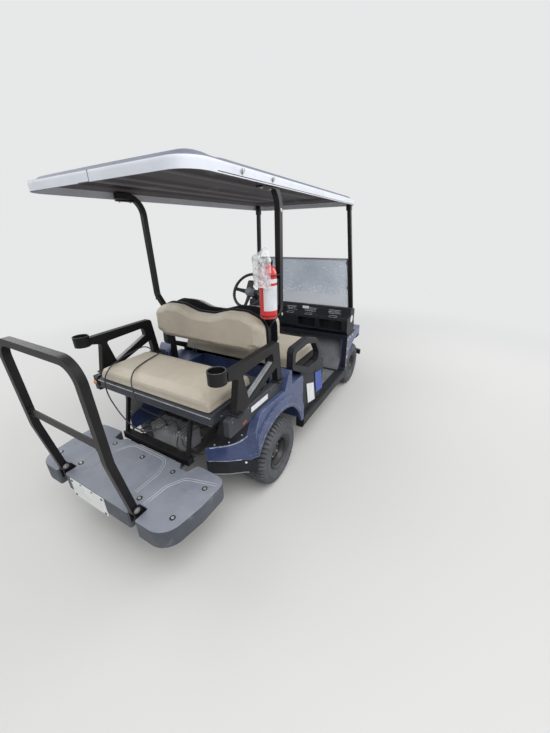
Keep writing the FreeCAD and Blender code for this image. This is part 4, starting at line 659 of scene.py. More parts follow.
def cord_sleeves():
    """Tapered sleeves where the charging cord leaves the charger."""
    pieces = []
    for index, start in enumerate((CORD_ROUTE[0], CORD_ROUTE[-1])):
        sleeve = Shape()
        profile = [(-0.001, 0.0105), (0.004, 0.0105)]
        for step in range(6):
            along = 0.006 + step * 0.005
            radius = 0.0085 - step * 0.0006
            profile += [(along, radius), (along + 0.003, radius), (along + 0.0035, radius - 0.0012),
                        (along + 0.0045, radius - 0.0012)]
        profile += [(0.037, 0.0046)]
        sleeve.turned(profile, mm(*start), UP, 24)
        pieces.append(sleeve.done(f"cord_sleeve_{index + 1}", "cord_jacket"))
    return pieces


def charging_cord():
    data = bpy.data.curves.new("charging_cable", "CURVE")
    data.dimensions = "3D"
    line = data.splines.new("NURBS")
    line.points.add(len(CORD_ROUTE) - 1)
    for point, place in zip(line.points, CORD_ROUTE):
        point.co = (*mm(*place), 1)
    line.order_u = 3
    line.use_endpoint_u = True
    line.resolution_u = 6
    data.bevel_depth = CORD_DIAMETER / 2
    data.bevel_resolution = 3
    data.materials.append(FINISHES["cord_jacket"])
    cable = new_object("charging_cable", data)
    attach(cable, CHASSIS)
    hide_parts("charging_cord")
    cord_sleeves()


charging_cord()


def dress_nodes():
    """Give every node of the frame its finish, smooth shading, and sharp edges where its faces meet at a
    steep angle.
    """
    slots = {part["node"]: part["material_slot"] for part in frame["record"]["subparts"]}
    for name, node in frame["nodes"].items():
        node.data.materials.clear()
        node.data.materials.append(FINISHES[slots[name]])
        node.data.shade_smooth()
        node.data.set_sharp_from_angle(angle=math.radians(32))


dress_nodes()


# Cushions and seat backs
PAD_FRAMES = 20
PAD_PRESSURE = 4.0


def inset(places, amount):
    """Move an outline inwards along its own normals."""
    moved = []
    count = len(places)
    for index, here in enumerate(places):
        run = (places[(index + 1) % count] - places[index - 1]).normalized()
        moved.append(here + Vector((-run.y, run.x)) * amount)
    return moved


def block_form(low, high, round_top, round_foot, crown, steps=14):
    """A cushion before it is filled: rolled top edge, low crown, straight foot."""
    shape = bmesh.new()
    bmesh.ops.create_cube(shape, size=2.0)
    bmesh.ops.subdivide_edges(shape, edges=shape.edges, cuts=steps, use_grid_fill=True)
    middle = (low + high) / 2
    half = (high - low) / 2
    for vert in shape.verts:
        share = vert.co.copy()
        place = Vector((share.x * half.x, share.y * half.y, share.z * half.z))
        radius = round_top if share.z > 0 else round_foot
        core = Vector([max(min(place[axis], half[axis] - radius), radius - half[axis]) for axis in range(3)])
        out = place - core
        if out.length > 1e-9:
            place = core + out.normalized() * radius
        rise = max(0.0, (1 - share.x ** 4)) * max(0.0, (1 - share.y ** 6))
        if share.z > 0:
            place.z += crown * (rise - 1) * share.z
        vert.co = middle + place
    return shape


def back_form(outline, face_x, depth, sense):
    """A seat back before it is filled, from its shell outwards along sense."""
    # share of depth, inset
    sections = [(0.0, 9), (0.12, 2), (0.5, 0), (0.72, 5), (0.88, 15), (0.97, 30), (1.0, 46)]
    shape = Shape()
    rings = []
    for share, amount in sections:
        ring = inset(outline, amount)
        rings.append([mm(face_x + sense * depth * share, place.x, place.y) for place in ring])
    shape.loops(rings)
    bmesh.ops.recalc_face_normals(shape.mesh, faces=shape.mesh.faces)
    return shape.mesh


def filled(shape, name, voxel, cap, held):
    """Fill a form like a cushion; no point moves by more than the cap, and what is held stays put."""
    mesh = bpy.data.meshes.new(name)
    shape.to_mesh(mesh)
    shape.free()
    piece = new_object(name, mesh)
    bpy.context.view_layer.objects.active = piece
    for other in bpy.context.selected_objects:
        other.select_set(False)
    piece.select_set(True)
    mesh.remesh_voxel_size = voxel
    bpy.ops.object.voxel_remesh()
    rest = [vert.co.copy() for vert in mesh.vertices]
    pins = piece.vertex_groups.new(name="held")
    pins.add([index for index, place in enumerate(rest) if held(place)], 1.0, "REPLACE")
    cloth = piece.modifiers.new("filling", "CLOTH")
    cloth.settings.quality = 4
    cloth.settings.mass = 0.3
    cloth.settings.tension_stiffness = 25
    cloth.settings.compression_stiffness = 12
    cloth.settings.bending_stiffness = 2.0
    cloth.settings.use_pressure = True
    cloth.settings.uniform_pressure_force = PAD_PRESSURE
    cloth.settings.effector_weights.gravity = 0
    cloth.settings.vertex_group_mass = "held"
    cloth.collision_settings.use_collision = False
    cloth.point_cache.frame_start = 1
    cloth.point_cache.frame_end = PAD_FRAMES
    scene = bpy.context.scene
    for step in range(1, PAD_FRAMES + 1):
        scene.frame_set(step)
    graph = bpy.context.evaluated_depsgraph_get()
    blown = piece.evaluated_get(graph).to_mesh()
    moved = []
    for index, vert in enumerate(blown.vertices):
        step = vert.co - rest[index]
        if step.length > cap:
            step = step.normalized() * cap
        moved.append(rest[index] + step)
    piece.evaluated_get(graph).to_mesh_clear()
    piece.modifiers.remove(cloth)
    for vert, place in zip(mesh.vertices, moved):
        vert.co = place
    scene.frame_set(1)
    return piece


def smoothed(piece, rounds, factor=0.5):
    shape = bmesh.new()
    shape.from_mesh(piece.data)
    for turn in range(rounds):
        bmesh.ops.smooth_vert(shape, verts=shape.verts, factor=factor, use_axis_x=True, use_axis_y=True,
                              use_axis_z=True)
    shape.to_mesh(piece.data)
    shape.free()


def refined(piece):
    """Apply one subdivision, so that seams can be drawn finer than the filling's mesh."""
    fine = piece.modifiers.new("fine", "SUBSURF")
    fine.levels = 1
    fine.render_levels = 1
    graph = bpy.context.evaluated_depsgraph_get()
    mesh = bpy.data.meshes.new_from_object(piece.evaluated_get(graph))
    piece.modifiers.remove(fine)
    piece.data = mesh


def normals_of(piece):
    """All the normals at once, before any point is moved."""
    piece.data.update()
    return [vert.normal.copy() for vert in piece.data.vertices]


def creased(piece, lines, plane, depth, width, facing):
    """Press sewn lines into the side that faces one way; lines are pairs of places in a plane."""
    first, second = plane
    for vert, normal in zip(piece.data.vertices, normals_of(piece)):
        if normal.dot(facing) < 0.4:
            continue
        place = Vector((vert.co[first], vert.co[second]))
        push = 0.0
        for start, end in lines:
            run = end - start
            share = max(0.0, min(1.0, (place - start).dot(run) / run.length_squared))
            away = (place - start - run * share).length
            push = max(push, math.exp(-(away / width) ** 2))
        vert.co -= facing * (push * depth)


def wrinkled(piece, scale, depth, keep=None):
    for vert, normal in zip(piece.data.vertices, normals_of(piece)):
        amount = noise.noise(vert.co * scale) + 0.5 * noise.noise(vert.co * scale * 2.3)
        if keep is not None:
            amount *= keep(vert.co)
        vert.co += normal * (amount * depth)


def cover(piece, node, fill, finish="tan_vinyl", body=CHASSIS):
    piece.data.materials.clear()
    piece.data.materials.append(FINISHES[finish])
    piece.data.shade_smooth()
    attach(piece, body)
    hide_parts(node)
    return piece


def flat_line(y_start, z_start, y_end, z_end):
    return Vector((y_start / 1000, z_start / 1000)), Vector((y_end / 1000, z_end / 1000))


def seat_pad(name, node, body, fine):
    low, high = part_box(node)
    margin = Vector((0.003, 0.003, 0))
    shape = block_form(low + margin, high - margin, round_top=0.030, round_foot=0.012, crown=0.010)
    foot = low.z + 0.008
    piece = filled(shape, name, voxel=0.008, cap=0.006, held=lambda place: place.z < foot)
    smoothed(piece, 2)
    if fine:
        refined(piece)
    middle = (low.z + high.z) / 2
    # the welded edge between the top sheet and the side bands
    weld_z = high.z - 0.030
    weld_width = 0.0035
    weld_depth = 0.0016
    for vert, normal in zip(piece.data.vertices, normals_of(piece)):
        if abs(normal.z) < 0.75:
            away = (vert.co.z - weld_z) / weld_width
            vert.co -= normal * weld_depth * math.exp(-away * away)
    wrinkled(piece, scale=9.0, depth=0.0012, keep=lambda place: 1.0 if place.z > middle else 0.4)
    for vert in piece.data.vertices:
        vert.co.z = max(low.z, min(high.z + 0.004, vert.co.z))
    return cover(piece, node, fill=0.85, body=body)


# Seat back outline: y, z from the foot, corner radius
BACK_FOOT_Z = 893
BACK_OUTLINE = [
    (-380, 2, 60), (380, 2, 60), (474, 45, 40), (468, 215, 90), (330, 268, 120), (200, 266, 120),
    (70, 228, 140), (-70, 228, 140), (-200, 266, 120), (-330, 268, 120), (-468, 215, 90), (-474, 45, 40),
]
REAR_BACK_FACE_X = 83.7
FRONT_BACK_FACE_X = 197.3
# Creases pressed into the covers: y and z of both ends
BACK_CREASES = [
    (330, 955, 330, 1105), (210, 985, 210, 1090), (330, 1048, 215, 1046), (320, 1000, 225, 1000),
    (-330, 955, -330, 1105), (-210, 985, -210, 1090), (-330, 1048, -215, 1046), (-320, 1000, -225, 1000),
]


def back_pad(name, node, face_x, sense, fine):
    low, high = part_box(node)
    outline = inset([Vector((place.x, place.y + BACK_FOOT_Z)) for place in outlined(BACK_OUTLINE, 8)], 8)
    depth = (high.x - low.x) * 1000 - 3
    shape = back_form(outline, face_x, depth, sense)
    rim = mm(face_x + sense * 10, 0, 0).x
    piece = filled(shape, name, voxel=0.007, cap=0.005, held=lambda place: (place.x - rim) * sense < 0)
    smoothed(piece, 2)
    if fine:
        refined(piece)
    lines = [flat_line(*ends) for ends in BACK_CREASES]
    creased(piece, lines, (1, 2), depth=0.0022, width=0.004, facing=ALONG * sense)
    wrinkled(piece, scale=11.0, depth=0.0013)
    for vert in piece.data.vertices:
        vert.co.x = max(low.x, min(high.x, vert.co.x))
    return cover(piece, node, fill=0.9)


seat_pad("rear_seat_pad", "rear_cushion", CHASSIS, True)
seat_pad("front_seat_pad", "front_cushion", "seat_lid", False)
back_pad("rear_back_pad", "rear_back_cushion", REAR_BACK_FACE_X, -1, True)
back_pad("front_back_pad", "front_back_cushion", FRONT_BACK_FACE_X, 1, False)


# Tyres
# Half section of the casing: offset from the wheel's middle, radius
CASING = [(84, 101.9), (85.5, 119), (98, 132), (102, 150), (102.5, 170), (100.5, 188), (96, 201), (88, 212),
          (66, 220), (34, 222), (0, 222.4)]
CASING_STEPS = 96
TREAD_RADIUS = 228.2
TREAD_FOOT = 219
CROWN_BLOCKS = 50
# Rows of crown blocks: offset, half width, shift in blocks, share of the pitch
CROWN_ROWS = [(-50, 14.5, 0.0, 0.8), (-17, 15, 0.5, 0.82), (17, 15, 0.0, 0.82), (50, 14.5, 0.5, 0.8)]
SHOULDER_BLOCKS = 46
SHOULDER_SHARE = 0.76
# Outer end of every second shoulder block and of those between: offset, radius
SHOULDER_LONG = (99.5, 196)
SHOULDER_SHORT = (96.0, 203)
# Fine ribs around the sidewall: radius, offset
WALL_RIBS = [(128, 96.5), (176, 102.6), (183, 101.6)]


def tyre_section(shape, wheel, start, end, sections):
    """One tread block between two angles; sections are (offset, low radius, high radius, taper)."""
    rings = []
    for offset, low, high, taper in sections:
        ring = []
        for angle, radius in ((start, low), (end, low), (end - taper, high), (start + taper, high)):
            ring.append(wheel + Vector((math.cos(angle) * radius, offset, math.sin(angle) * radius)) / 1000)
        rings.append(ring)
    shape.loops(rings)


def treaded_tyre(corner):
    low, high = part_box(f"tyre_{corner}")
    wheel = (low + high) / 2
    shape = Shape()
    profile = CASING + [(-offset, radius) for offset, radius in reversed(CASING[:-1])]
    shape.turned([(offset / 1000, radius / 1000) for offset, radius in profile], wheel, ACROSS,
                 CASING_STEPS, False)
    pitch = 2 * math.pi / CROWN_BLOCKS
    for offset, half, shift, share in CROWN_ROWS:
        high_at = TREAD_RADIUS - abs(offset) * 0.018
        for index in range(CROWN_BLOCKS):
            start = (index + shift) * pitch
            tyre_section(shape, wheel, start, start + share * pitch,
                         [(offset - half, TREAD_FOOT, high_at - 0.5, 0.012),
                          (offset, TREAD_FOOT, high_at, 0.012),
                          (offset + half, TREAD_FOOT, high_at - 0.5, 0.012)])
    pitch = 2 * math.pi / SHOULDER_BLOCKS
    for hand in (1, -1):
        for index in range(SHOULDER_BLOCKS):
            start = (index + (0.5 if hand > 0 else 0.0)) * pitch
            reach, tail = SHOULDER_LONG if index % 2 else SHOULDER_SHORT
            tyre_section(shape, wheel, start, start + SHOULDER_SHARE * pitch,
                         [(hand * 67, 216, TREAD_RADIUS - 2.0, 0.01),
                          (hand * 80, 211, TREAD_RADIUS - 5.5, 0.01),
                          (hand * 92, 203, 213.5, 0.008),
                          (hand * reach, tail - 8, tail + 2, 0.006)])
    for radius, offset in WALL_RIBS:
        for hand in (1, -1):
            middle = wheel + ACROSS * (hand * offset / 1000)
            shape.run(circle(middle, radius / 1000, 72, ALONG, UP), 0.0012, 6, closed=True)
    shape.done(f"treaded_tyre_{corner}", "tyre_rubber", f"wheel_{corner}", replaces=(f"tyre_{corner}",),
               angle=40)

    # painted shade: a dark belt at the foot of the blocks, so the grooves between them look black
    groove_shade = Shape()
    belt = [(offset / 1000, (radius + 0.5) / 1000) for offset, radius in profile if radius > 195]
    groove_shade.turned(belt, wheel, ACROSS, CASING_STEPS, False)
    groove_shade.done(f"tread_groove_shade_{corner}", "dark_joint", f"wheel_{corner}", slot="tyre_rubber", angle=60)


for corner in ("front_left", "front_right", "rear_left", "rear_right"):
    treaded_tyre(corner)


# Roof: a moulded shell with a rolled skirt, two humps in its crown and long ribs beneath
ROOF_TAIL_X = -550
ROOF_NOSE_X = 1610
ROOF_TAIL_HALF = 575
ROOF_NOSE_HALF = 505
ROOF_CORNER = 110
ROOF_LOW_Z = 1800
# Distance in from the edge and height of the upper skin there
ROOF_EDGE = [(0, 1837), (2, 1841), (5, 1844), (10, 1845.5), (20, 1846.5), (28, 1848), (36, 1853), (46, 1861),
             (58, 1867), (74, 1870.5), (100, 1872), (140, 1873)]
ROOF_SKIN = 7
# The crown's rise, and the dip across it
ROOF_RISE = 6.5
ROOF_DIP_X = -350
ROOF_DIP_HALF = 34
ROOF_DIP_DEPTH = 15
# Ribs of the lower skin: y of each, half width, depth
ROOF_RIBS = [-345, -165, 165, 345]
ROOF_RIB_HALF = 48
ROOF_RIB_DEPTH = 15
ROOF_HOOKS_X = (-243, 17)


def limited(share):
    """A share kept between nothing and all."""
    return max(0.0, min(1.0, share))


def roof_height(inward, x, y):
    for (near, low), (far, high) in zip(ROOF_EDGE, ROOF_EDGE[1:]):
        if inward <= far:
            height = low + (high - low) * (inward - near) / (far - near)
            break
    else:
        height = ROOF_EDGE[-1][1]
    lift = limited((inward - 26) / 90)
    height += lift * ROOF_RISE * (1 - (y / 600) ** 2)
    height -= lift * ROOF_DIP_DEPTH * math.exp(-((x - ROOF_DIP_X) / ROOF_DIP_HALF) ** 2)
    return height


def roof_under(inward, x, y):
    height = roof_height(inward, x, y) - ROOF_SKIN
    ends = limited((x + 400) / 120) * limited((1480 - x) / 160)
    rib = max(math.exp(-(abs(y - middle) / ROOF_RIB_HALF) ** 4) for middle in ROOF_RIBS)
    return height - ROOF_RIB_DEPTH * rib * ends * limited((inward - 30) / 60)


def spread(half, count):
    edge = [half - distance for distance, height in ROOF_EDGE]
    core = [edge[-1] * step / count for step in range(1 - count, count)]
    return [-place for place in edge] + core + list(reversed(edge))


def roof_grid(shape, inset, height_at):
    """Corners are pulled round from square to arc; gives the rows of vertices."""
    long_half = (ROOF_NOSE_X - ROOF_TAIL_X) / 2 - inset
    wide_half = ROOF_TAIL_HALF - inset
    radius = ROOF_CORNER - inset
    middle = (ROOF_NOSE_X + ROOF_TAIL_X) / 2
    narrowing = (ROOF_TAIL_HALF - ROOF_NOSE_HALF) / ROOF_TAIL_HALF
    rows = []
    for along in spread(long_half, 24):
        row = []
        for across in spread(wide_half, 20):
            core = Vector((max(radius - long_half, min(long_half - radius, along)),
                           max(radius - wide_half, min(wide_half - radius, across))))
            out = Vector((along, across)) - core
            inward = min(long_half - abs(along), wide_half - abs(across))
            place = Vector((along, across))
            if out.x and out.y:
                reach = max(abs(out.x), abs(out.y))
                place = core + out.normalized() * reach
                inward = radius - reach
            x = middle + place.x
            y = place.y * (1 - narrowing * (place.x + long_half) / (2 * long_half))
            row.append(shape.mesh.verts.new(mm(x, y, height_at(inward + inset, x, y))))
        rows.append(row)
    shape.skin(rows, closed=False)
    return rows


def grid_rim(rows):
    return rows[0][:-1] + [row[-1] for row in rows[:-1]] + rows[-1][:0:-1] + [row[0] for row in rows[:0:-1]]


def dressed_roof():
    shape = Shape()
    upper = grid_rim(roof_grid(shape, 0, roof_height))
    under = grid_rim(roof_grid(shape, 8, roof_under))
    loops = [upper]
    for source, z in ((upper, 1828), (upper, 1803), (upper, ROOF_LOW_Z), (under, ROOF_LOW_Z), (under, 1804)):
        height = mm(0, 0, z).z
        loops.append([shape.mesh.verts.new((vert.co.x, vert.co.y, height)) for vert in source])
    loops.append(under)
    shape.skin(loops)
    shape.done("dressed_roof", "roof_plastic", replaces=("roof",), angle=38)

    # dark joint in the middle of the rear skirt, and a step beside it
    seam = Shape()
    seam.box(mm(ROOF_TAIL_X - 0.6, -12, 1800.5), mm(ROOF_TAIL_X + 1, -9, 1842))
    seam.box(mm(ROOF_TAIL_X - 0.4, -9, 1799.6), mm(ROOF_TAIL_X + 4, 70, 1802))
    for side in SIDES:
        # drip line along the foot of each side's skirt
        start = mm(ROOF_TAIL_X + 150, side * (ROOF_TAIL_HALF - 5), 1806)
        end = mm(ROOF_NOSE_X - 110, side * (ROOF_NOSE_HALF + 3.2), 1806)
        seam.bar(start, end, 1.4 / 1000, 3 / 1000)
    seam.done("roof_seams", "dark_joint", slot="roof_plastic")

    hooks = Shape()
    for side in SIDES:
        for x in ROOF_HOOKS_X:
            share = (x - ROOF_TAIL_X) / (ROOF_NOSE_X - ROOF_TAIL_X)
            y = side * (ROOF_TAIL_HALF - (ROOF_TAIL_HALF - ROOF_NOSE_HALF) * share + 0.4)
            hooks.turned([(0, 0.009), (0.002, 0.009), (0.003, 0.007)], mm(x, y, 1822), ACROSS * side, 20)
            horn = [mm(x - 8, y + side * 9, 1834), mm(x - 7, y + side * 9, 1824), mm(x, y + side * 4, 1817),
                    mm(x + 7, y + side * 9, 1824), mm(x + 8, y + side * 9, 1834)]
            hooks.run(horn, 0.0022, 8)
    hooks.done("roof_hooks", "hook_plastic", slot="grey_plastic")


dressed_roof()


# Footboard: moulded deck with a turned-down skirt and pressed double lines, the lines pale as a painted
# highlight
DECK_TOP_Z = 400
DECK_LOW_Z = 300
# Half outline: x, y, corner radius
DECK_HALF = [(-535, 240), (-565, 262, 8), (-565, 318, 8), (-502, 338, 14), (-502, 400, 60), (-512, 550, 62),
             (-700, 552, 200), (-915, 520, 105), (-915, 331, 12), (-839, 331, 5), (-839, 269, 5),
             (-905, 269, 12)]
# Rolled edge: distance in from the outline, height
DECK_ROLL = [(4.5, DECK_TOP_Z), (1.3, DECK_TOP_Z - 1.3), (0, DECK_TOP_Z - 4.5), (0, DECK_LOW_Z),
             (6, DECK_LOW_Z), (6, DECK_TOP_Z - 10)]
# Middles of the pressed lines, each drawn as a pair: x, y, corner radius
DECK_CENTRE_LINE = [(-800, 193), (-660, 193, 100), (-556, 150, 70),
                    (-556, -150, 70), (-660, -193, 100), (-800, -193)]
DECK_SIDE_LINE = [(-838, 296), (-700, 302, 60), (-610, 352, 60), (-570, 500, 20), (-566, 530)]
DECK_LINE_AWAY = 7
DECK_LINE_RADIUS = 0.0022
DECK_BOLTS = [(-605, 260), (-608, 0), (-607, -251), (-612, -487), (-817, -476), (-816, -244), (-813, 271),
              (-612, 487), (-817, 476)]


# Blank plate in the deck's rear face: its outline (y, z, corner radius) and screws
PLATE_OUTLINE = [(-86, 275, 8), (214, 275, 8), (214, 398, 8), (-86, 398, 8)]
PLATE_REAR_X = -908
PLATE_SCREWS = [(-68, 288), (-68, 385), (196, 288), (196, 385)]
PLATE_SMALL_SCREWS = [(14, 391), (114, 391)]


def deck_line(shape, places, away):
    moved = []
    for index, here in enumerate(places):
        before = places[max(index - 1, 0)]
        after = places[min(index + 1, len(places) - 1)]
        run = (after - before).normalized()
        moved.append(here + Vector((-run.y, run.x)) * away)
    path = [mm(place.x, place.y, DECK_TOP_Z + 0.2) for place in moved]
    shape.run(path, DECK_LINE_RADIUS, 8)


def dressed_deck():
    deck = Shape()
    ring = outlined(turned_over(DECK_HALF), 8)
    rings = []
    for amount, z in DECK_ROLL:
        rings.append([mm(place.x, place.y, z) for place in inset(ring, amount)])
    deck.loops(rings)
    bmesh.ops.triangulate(deck.mesh, faces=[face for face in deck.mesh.faces if len(face.verts) > 4])
    deck.done("dressed_deck", "deck_plastic", replaces=("footboard_deck",), angle=50)

    # the pressed lines: raised tubes in a pale finish, a painted highlight along each line
    lines = Shape()
    for away in (-DECK_LINE_AWAY, DECK_LINE_AWAY):
        deck_line(lines, open_line(DECK_CENTRE_LINE), away)
        for side in SIDES:
            places = [Vector((place.x, place.y * side)) for place in open_line(DECK_SIDE_LINE)]
            deck_line(lines, places, away)
    lines.done("deck_line_highlights", "pressed_line_highlight", slot="deck_plastic")

    washers = Shape()
    heads = Shape()
    for x, y in DECK_BOLTS:
        washers.turned([(-0.001, 0.0145), (0.0014, 0.0145), (0.0022, 0.0125), (0.0022, 0.009),
                        (0.0008, 0.0085)], mm(x, y, DECK_TOP_Z), UP, 24)
        heads.turned([(0, 0.0078), (0.003, 0.0078), (0.0042, 0.0066), (0.0042, 0.0038), (0.002, 0.0036)],
                     mm(x, y, DECK_TOP_Z), UP, 24)
    washers.done("deck_washers", "black_plastic")
    heads.done("deck_bolts", "zinc_steel")

    plate = Shape()
    cross_plate(plate, PLATE_OUTLINE, PLATE_REAR_X, PLATE_REAR_X + 2.7)
    plate.done("blank_plate", "plate_paint", slot="deck_plastic", bevel=0.0008)
    screws = Shape()
    for y, z in PLATE_SCREWS:
        screws.bolt(mm(PLATE_REAR_X, y, z), -ALONG, 0.005, 0.004)
    for y, z in PLATE_SMALL_SCREWS:
        screws.bolt(mm(PLATE_REAR_X, y, z), -ALONG, 0.004, 0.003)
    screws.done("plate_screws", "dark_metal", slot="zinc_steel")


dressed_deck()


# Rims: barrel and dished disc with windows; offset from the wheel's middle outwards, radius
BARREL = [(92, 114.5), (92.5, 110.5), (88, 108), (82, 104), (80, 99.5), (66, 98.5), (54, 88), (30, 86),
          (-40, 86), (-54, 88), (-66, 98.5), (-80, 99.5), (-82, 104), (-88, 108), (-92.5, 110.5),
          (-92, 114.5)]
DISC = [(30, 86), (38, 82), (44, 78), (44, 62), (41, 58), (35, 54), (34, 40), (34, 30)]
# The windows are cut in this level of the disc
WINDOW_LEVEL = 2
WINDOWS = 12
WHEEL_NUTS = 4
# The rest of each wheel, in metres: offset outwards, radius
HUB_CAP = [(0.033, 0.036), (0.037, 0.036), (0.038, 0.027), (0.052, 0.0255), (0.055, 0.022), (0.0555, 0.014),
           (0.054, 0.012)]
HUB_TUBE = [(-0.058, 0.034), (0.034, 0.034)]
BRAKE_DRUM = [(-0.068, 0.073), (-0.034, 0.073), (-0.031, 0.069), (-0.031, 0.036)]
NUT = [(0, 0.0098), (0.004, 0.0098), (0.005, 0.0088), (0.011, 0.0088), (0.013, 0.0075)]
STUD = [(0.012, 0.005), (0.019, 0.005), (0.02, 0.004)]
VALVE_STEM = [(-0.004, 0.005), (0.006, 0.0042), (0.014, 0.0036), (0.022, 0.0036), (0.023, 0.003)]


def dressed_rim(corner, side):
    low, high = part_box(f"tyre_{corner}")
    wheel = (low + high) / 2
    body = f"wheel_{corner}"
    outward = ACROSS * side
    shape = Shape()
    steps = WINDOWS * 6

    def ring(along, radius):
        places = circle(wheel + outward * (along / 1000), radius / 1000, steps, ALONG, UP)
        return [shape.mesh.verts.new(place) for place in places]

    for profile in (BARREL, DISC):
        rings = [ring(along, radius) for along, radius in profile]
        for level, (one, two) in enumerate(zip(rings, rings[1:])):
            for index in range(steps):
                if profile is DISC and level == WINDOW_LEVEL and index % 6 in (1, 2, 3, 4):
                    continue
                after = (index + 1) % steps
                shape.mesh.faces.new((one[index], one[after], two[after], two[index]))
    rim = shape.done(f"rim_shell_{corner}", "wheel_paint", body, replaces=(f"rim_{corner}",), angle=40)
    thick = rim.modifiers.new("thickness", "SOLIDIFY")
    thick.thickness = 0.0035
    thick.offset = 0
    rounding = rim.modifiers.new("rounding", "BEVEL")
    rounding.width = 0.0008
    rounding.segments = 1
    rounding.limit_method = "ANGLE"
    rounding.angle_limit = math.radians(50)

    hub = Shape()
    hub.turned(HUB_CAP, wheel, outward, 36)
    hub.turned(HUB_TUBE, wheel, outward, 28)
    if corner.startswith("rear"):
        hub.turned(BRAKE_DRUM, wheel, outward, 44)
    hub.done(f"hub_{corner}", "cast_metal", body, angle=40)

    nuts = Shape()
    for index in range(WHEEL_NUTS):
        angle = math.pi / 4 + index * math.pi / 2
        out = Vector((math.cos(angle), 0, math.sin(angle)))
        foot = wheel + outward * 0.0355 + out * 0.047
        nuts.turned(NUT, foot, outward, 6)
        nuts.turned(STUD, foot, outward, 12)
    stem = wheel + outward * 0.043 + Vector((-0.03, 0, 0.075))
    nuts.turned(VALVE_STEM, stem, outward, 12)
    nuts.done(f"wheel_nuts_{corner}", "zinc_steel", body)


for corner, side in (("front_left", 1), ("front_right", -1), ("rear_left", 1), ("rear_right", -1)):
    dressed_rim(corner, side)


# Rear seat kit: worn strip, lamps, labels, fixings
TRAY_FACE_X = -492.8
TRAY_HALF = 470
MARKER_LAMP = (-470, 548, 703)
KIT_SIDE_Y = 565
# Rivets in each side (x, z), and bolts along its top (x)
KIT_RIVETS = [(-440, 726), (-300, 734), (-60, 734), (84, 690), (84, 726)]
KIT_BOLTS = [-455, -330, -180, -40]
# Light strip of each armrest: x and z of both ends, y, and its row of holes
STRIP_TAIL = Vector((-296, 794))
STRIP_NOSE = Vector((-44, 902))
STRIP_Y = 555
STRIP_HOLES = 14
# Feet of the armrests: low x, high x
ARMREST_FEET = [(-424, -368), (4, 66)]
CUP_MIDDLE = (-490, 540, 1029)
CUP_RADIUS = 0.043


def side_slab(shape, y, corners, out):
    """A thin sheet on a side face; corners are (x, z)."""
    shape.slab([mm(x, y, z) for x, z in corners], ACROSS * out)


def seat_kit_trim():
    strip = Shape()
    corners = [(-TRAY_HALF, 744), (TRAY_HALF, 744), (TRAY_HALF, 751), (-TRAY_HALF, 751)]
    strip.slab([mm(TRAY_FACE_X, y, z) for y, z in corners], ALONG * 0.0008)
    strip.done("tray_edge_strip", "worn_strip", slot="grey_plastic", bevel=0.0004)

    lamps = Shape()
    reflectors = Shape()
    cups = Shape()
    labels = Shape()
    rivets = Shape()
    # a marker lamp at the left end alone
    lamps.turned([(0, 0.016), (0.006, 0.016), (0.011, 0.013), (0.013, 0.006)], mm(*MARKER_LAMP), -ALONG, 24)
    cups.turned([(0, 0.019), (0.003, 0.019), (0.0035, 0.0165)], mm(*MARKER_LAMP), -ALONG, 24)
    for side in SIDES:
        y = side * KIT_SIDE_Y
        side_slab(reflectors, y, [(-362, 660), (-322, 660), (-322, 676), (-362, 676)], side * 0.003)
        side_slab(labels, y, [(-273, 690), (-98, 690), (-98, 723), (-273, 723)], side * 0.0006)
        for x, z in KIT_RIVETS:
            rivets.rivet(mm(x, y, z), ACROSS * side, 0.0055)
        for x in KIT_BOLTS:
            rivets.bolt(mm(x, side * 512, 757), UP, 0.005, 0.004)
    lamps.done("amber_marker", "amber_lens", slot="grey_plastic")
    reflectors.done("side_reflectors", "red_lens", slot="grey_plastic", bevel=0.0008)
    cups.done("marker_bezel", "black_plastic")
    labels.done("side_labels", "blank_label", slot="grey_plastic")
    rivets.done("seat_kit_rivets", "dark_metal", slot="black_plastic")

    # a rolled lip along the side panels and the tray
    lip = Shape()
    for side in SIDES:
        lip.run([mm(-470, side * 562, 745), mm(-200, side * 562, 746), mm(104, side * 562, 745)], 0.0035, 8)
    lip.run([mm(-490, -474, 700.5), mm(-491, 0, 700.5), mm(-490, 474, 700.5)], 0.003, 8)
    lip.done("seat_kit_lips", "grey_plastic")

    # light strip with holes along the slanted inner panel of each armrest
    strips = Shape()
    holes = Shape()
    run = (STRIP_NOSE - STRIP_TAIL).normalized()
    for side in SIDES:
        y = side * STRIP_Y
        strips.bar(mm(STRIP_TAIL.x, y, STRIP_TAIL.y + 3), mm(STRIP_NOSE.x, y, STRIP_NOSE.y + 3), 0.030, 0.005)
        for index in range(STRIP_HOLES):
            place = STRIP_TAIL + run * (20 + index * 18)
            holes.turned([(0, 0.0028), (0.0006, 0.0028)], mm(place.x, y, place.y + 5.4), UP, 10)
    strips.done("armrest_strips", "pale_strip", slot="grey_plastic", bevel=0.001)
    holes.done("armrest_strip_holes", "dark_joint", slot="black_plastic")

    # armrest feet: collars, and the rims of the cups
    collars = Shape()
    for side in SIDES:
        for low_x, high_x in ARMREST_FEET:
            y_low, y_high = sorted((side * 519, side * 591))
            collars.box(mm(low_x, y_low, 745), mm(high_x, y_high, 757))
    collars.done("armrest_collars", "black_plastic", bevel=0.004, levels=3)
    rims = Shape()
    x, y, z = CUP_MIDDLE
    for side in SIDES:
        rims.run(circle(mm(x, side * y, z), CUP_RADIUS, 40), 0.003, 8, closed=True)
    rims.done("cup_rims", "grey_plastic")


seat_kit_trim()


# Bolts of the seat back brackets
def seat_back_fixings():
    bolts = Shape()
    for side in SIDES:
        y = side * 300
        for z in (940, 1080):
            bolts.bolt(mm(96.5, y, z), ALONG, 0.006, 0.005)
            bolts.bolt(mm(184.5, y, z), -ALONG, 0.006, 0.005)
        for z in (995, 1025):
            bolts.bolt(mm(125, side * 440, z), -ALONG, 0.006, 0.005)
    bolts.done("seat_back_bolts", "zinc_steel")


seat_back_fixings()


# Hip restraint: blank labels on its panel, and the body shoulder behind it
HIP_FACE_Y = 575
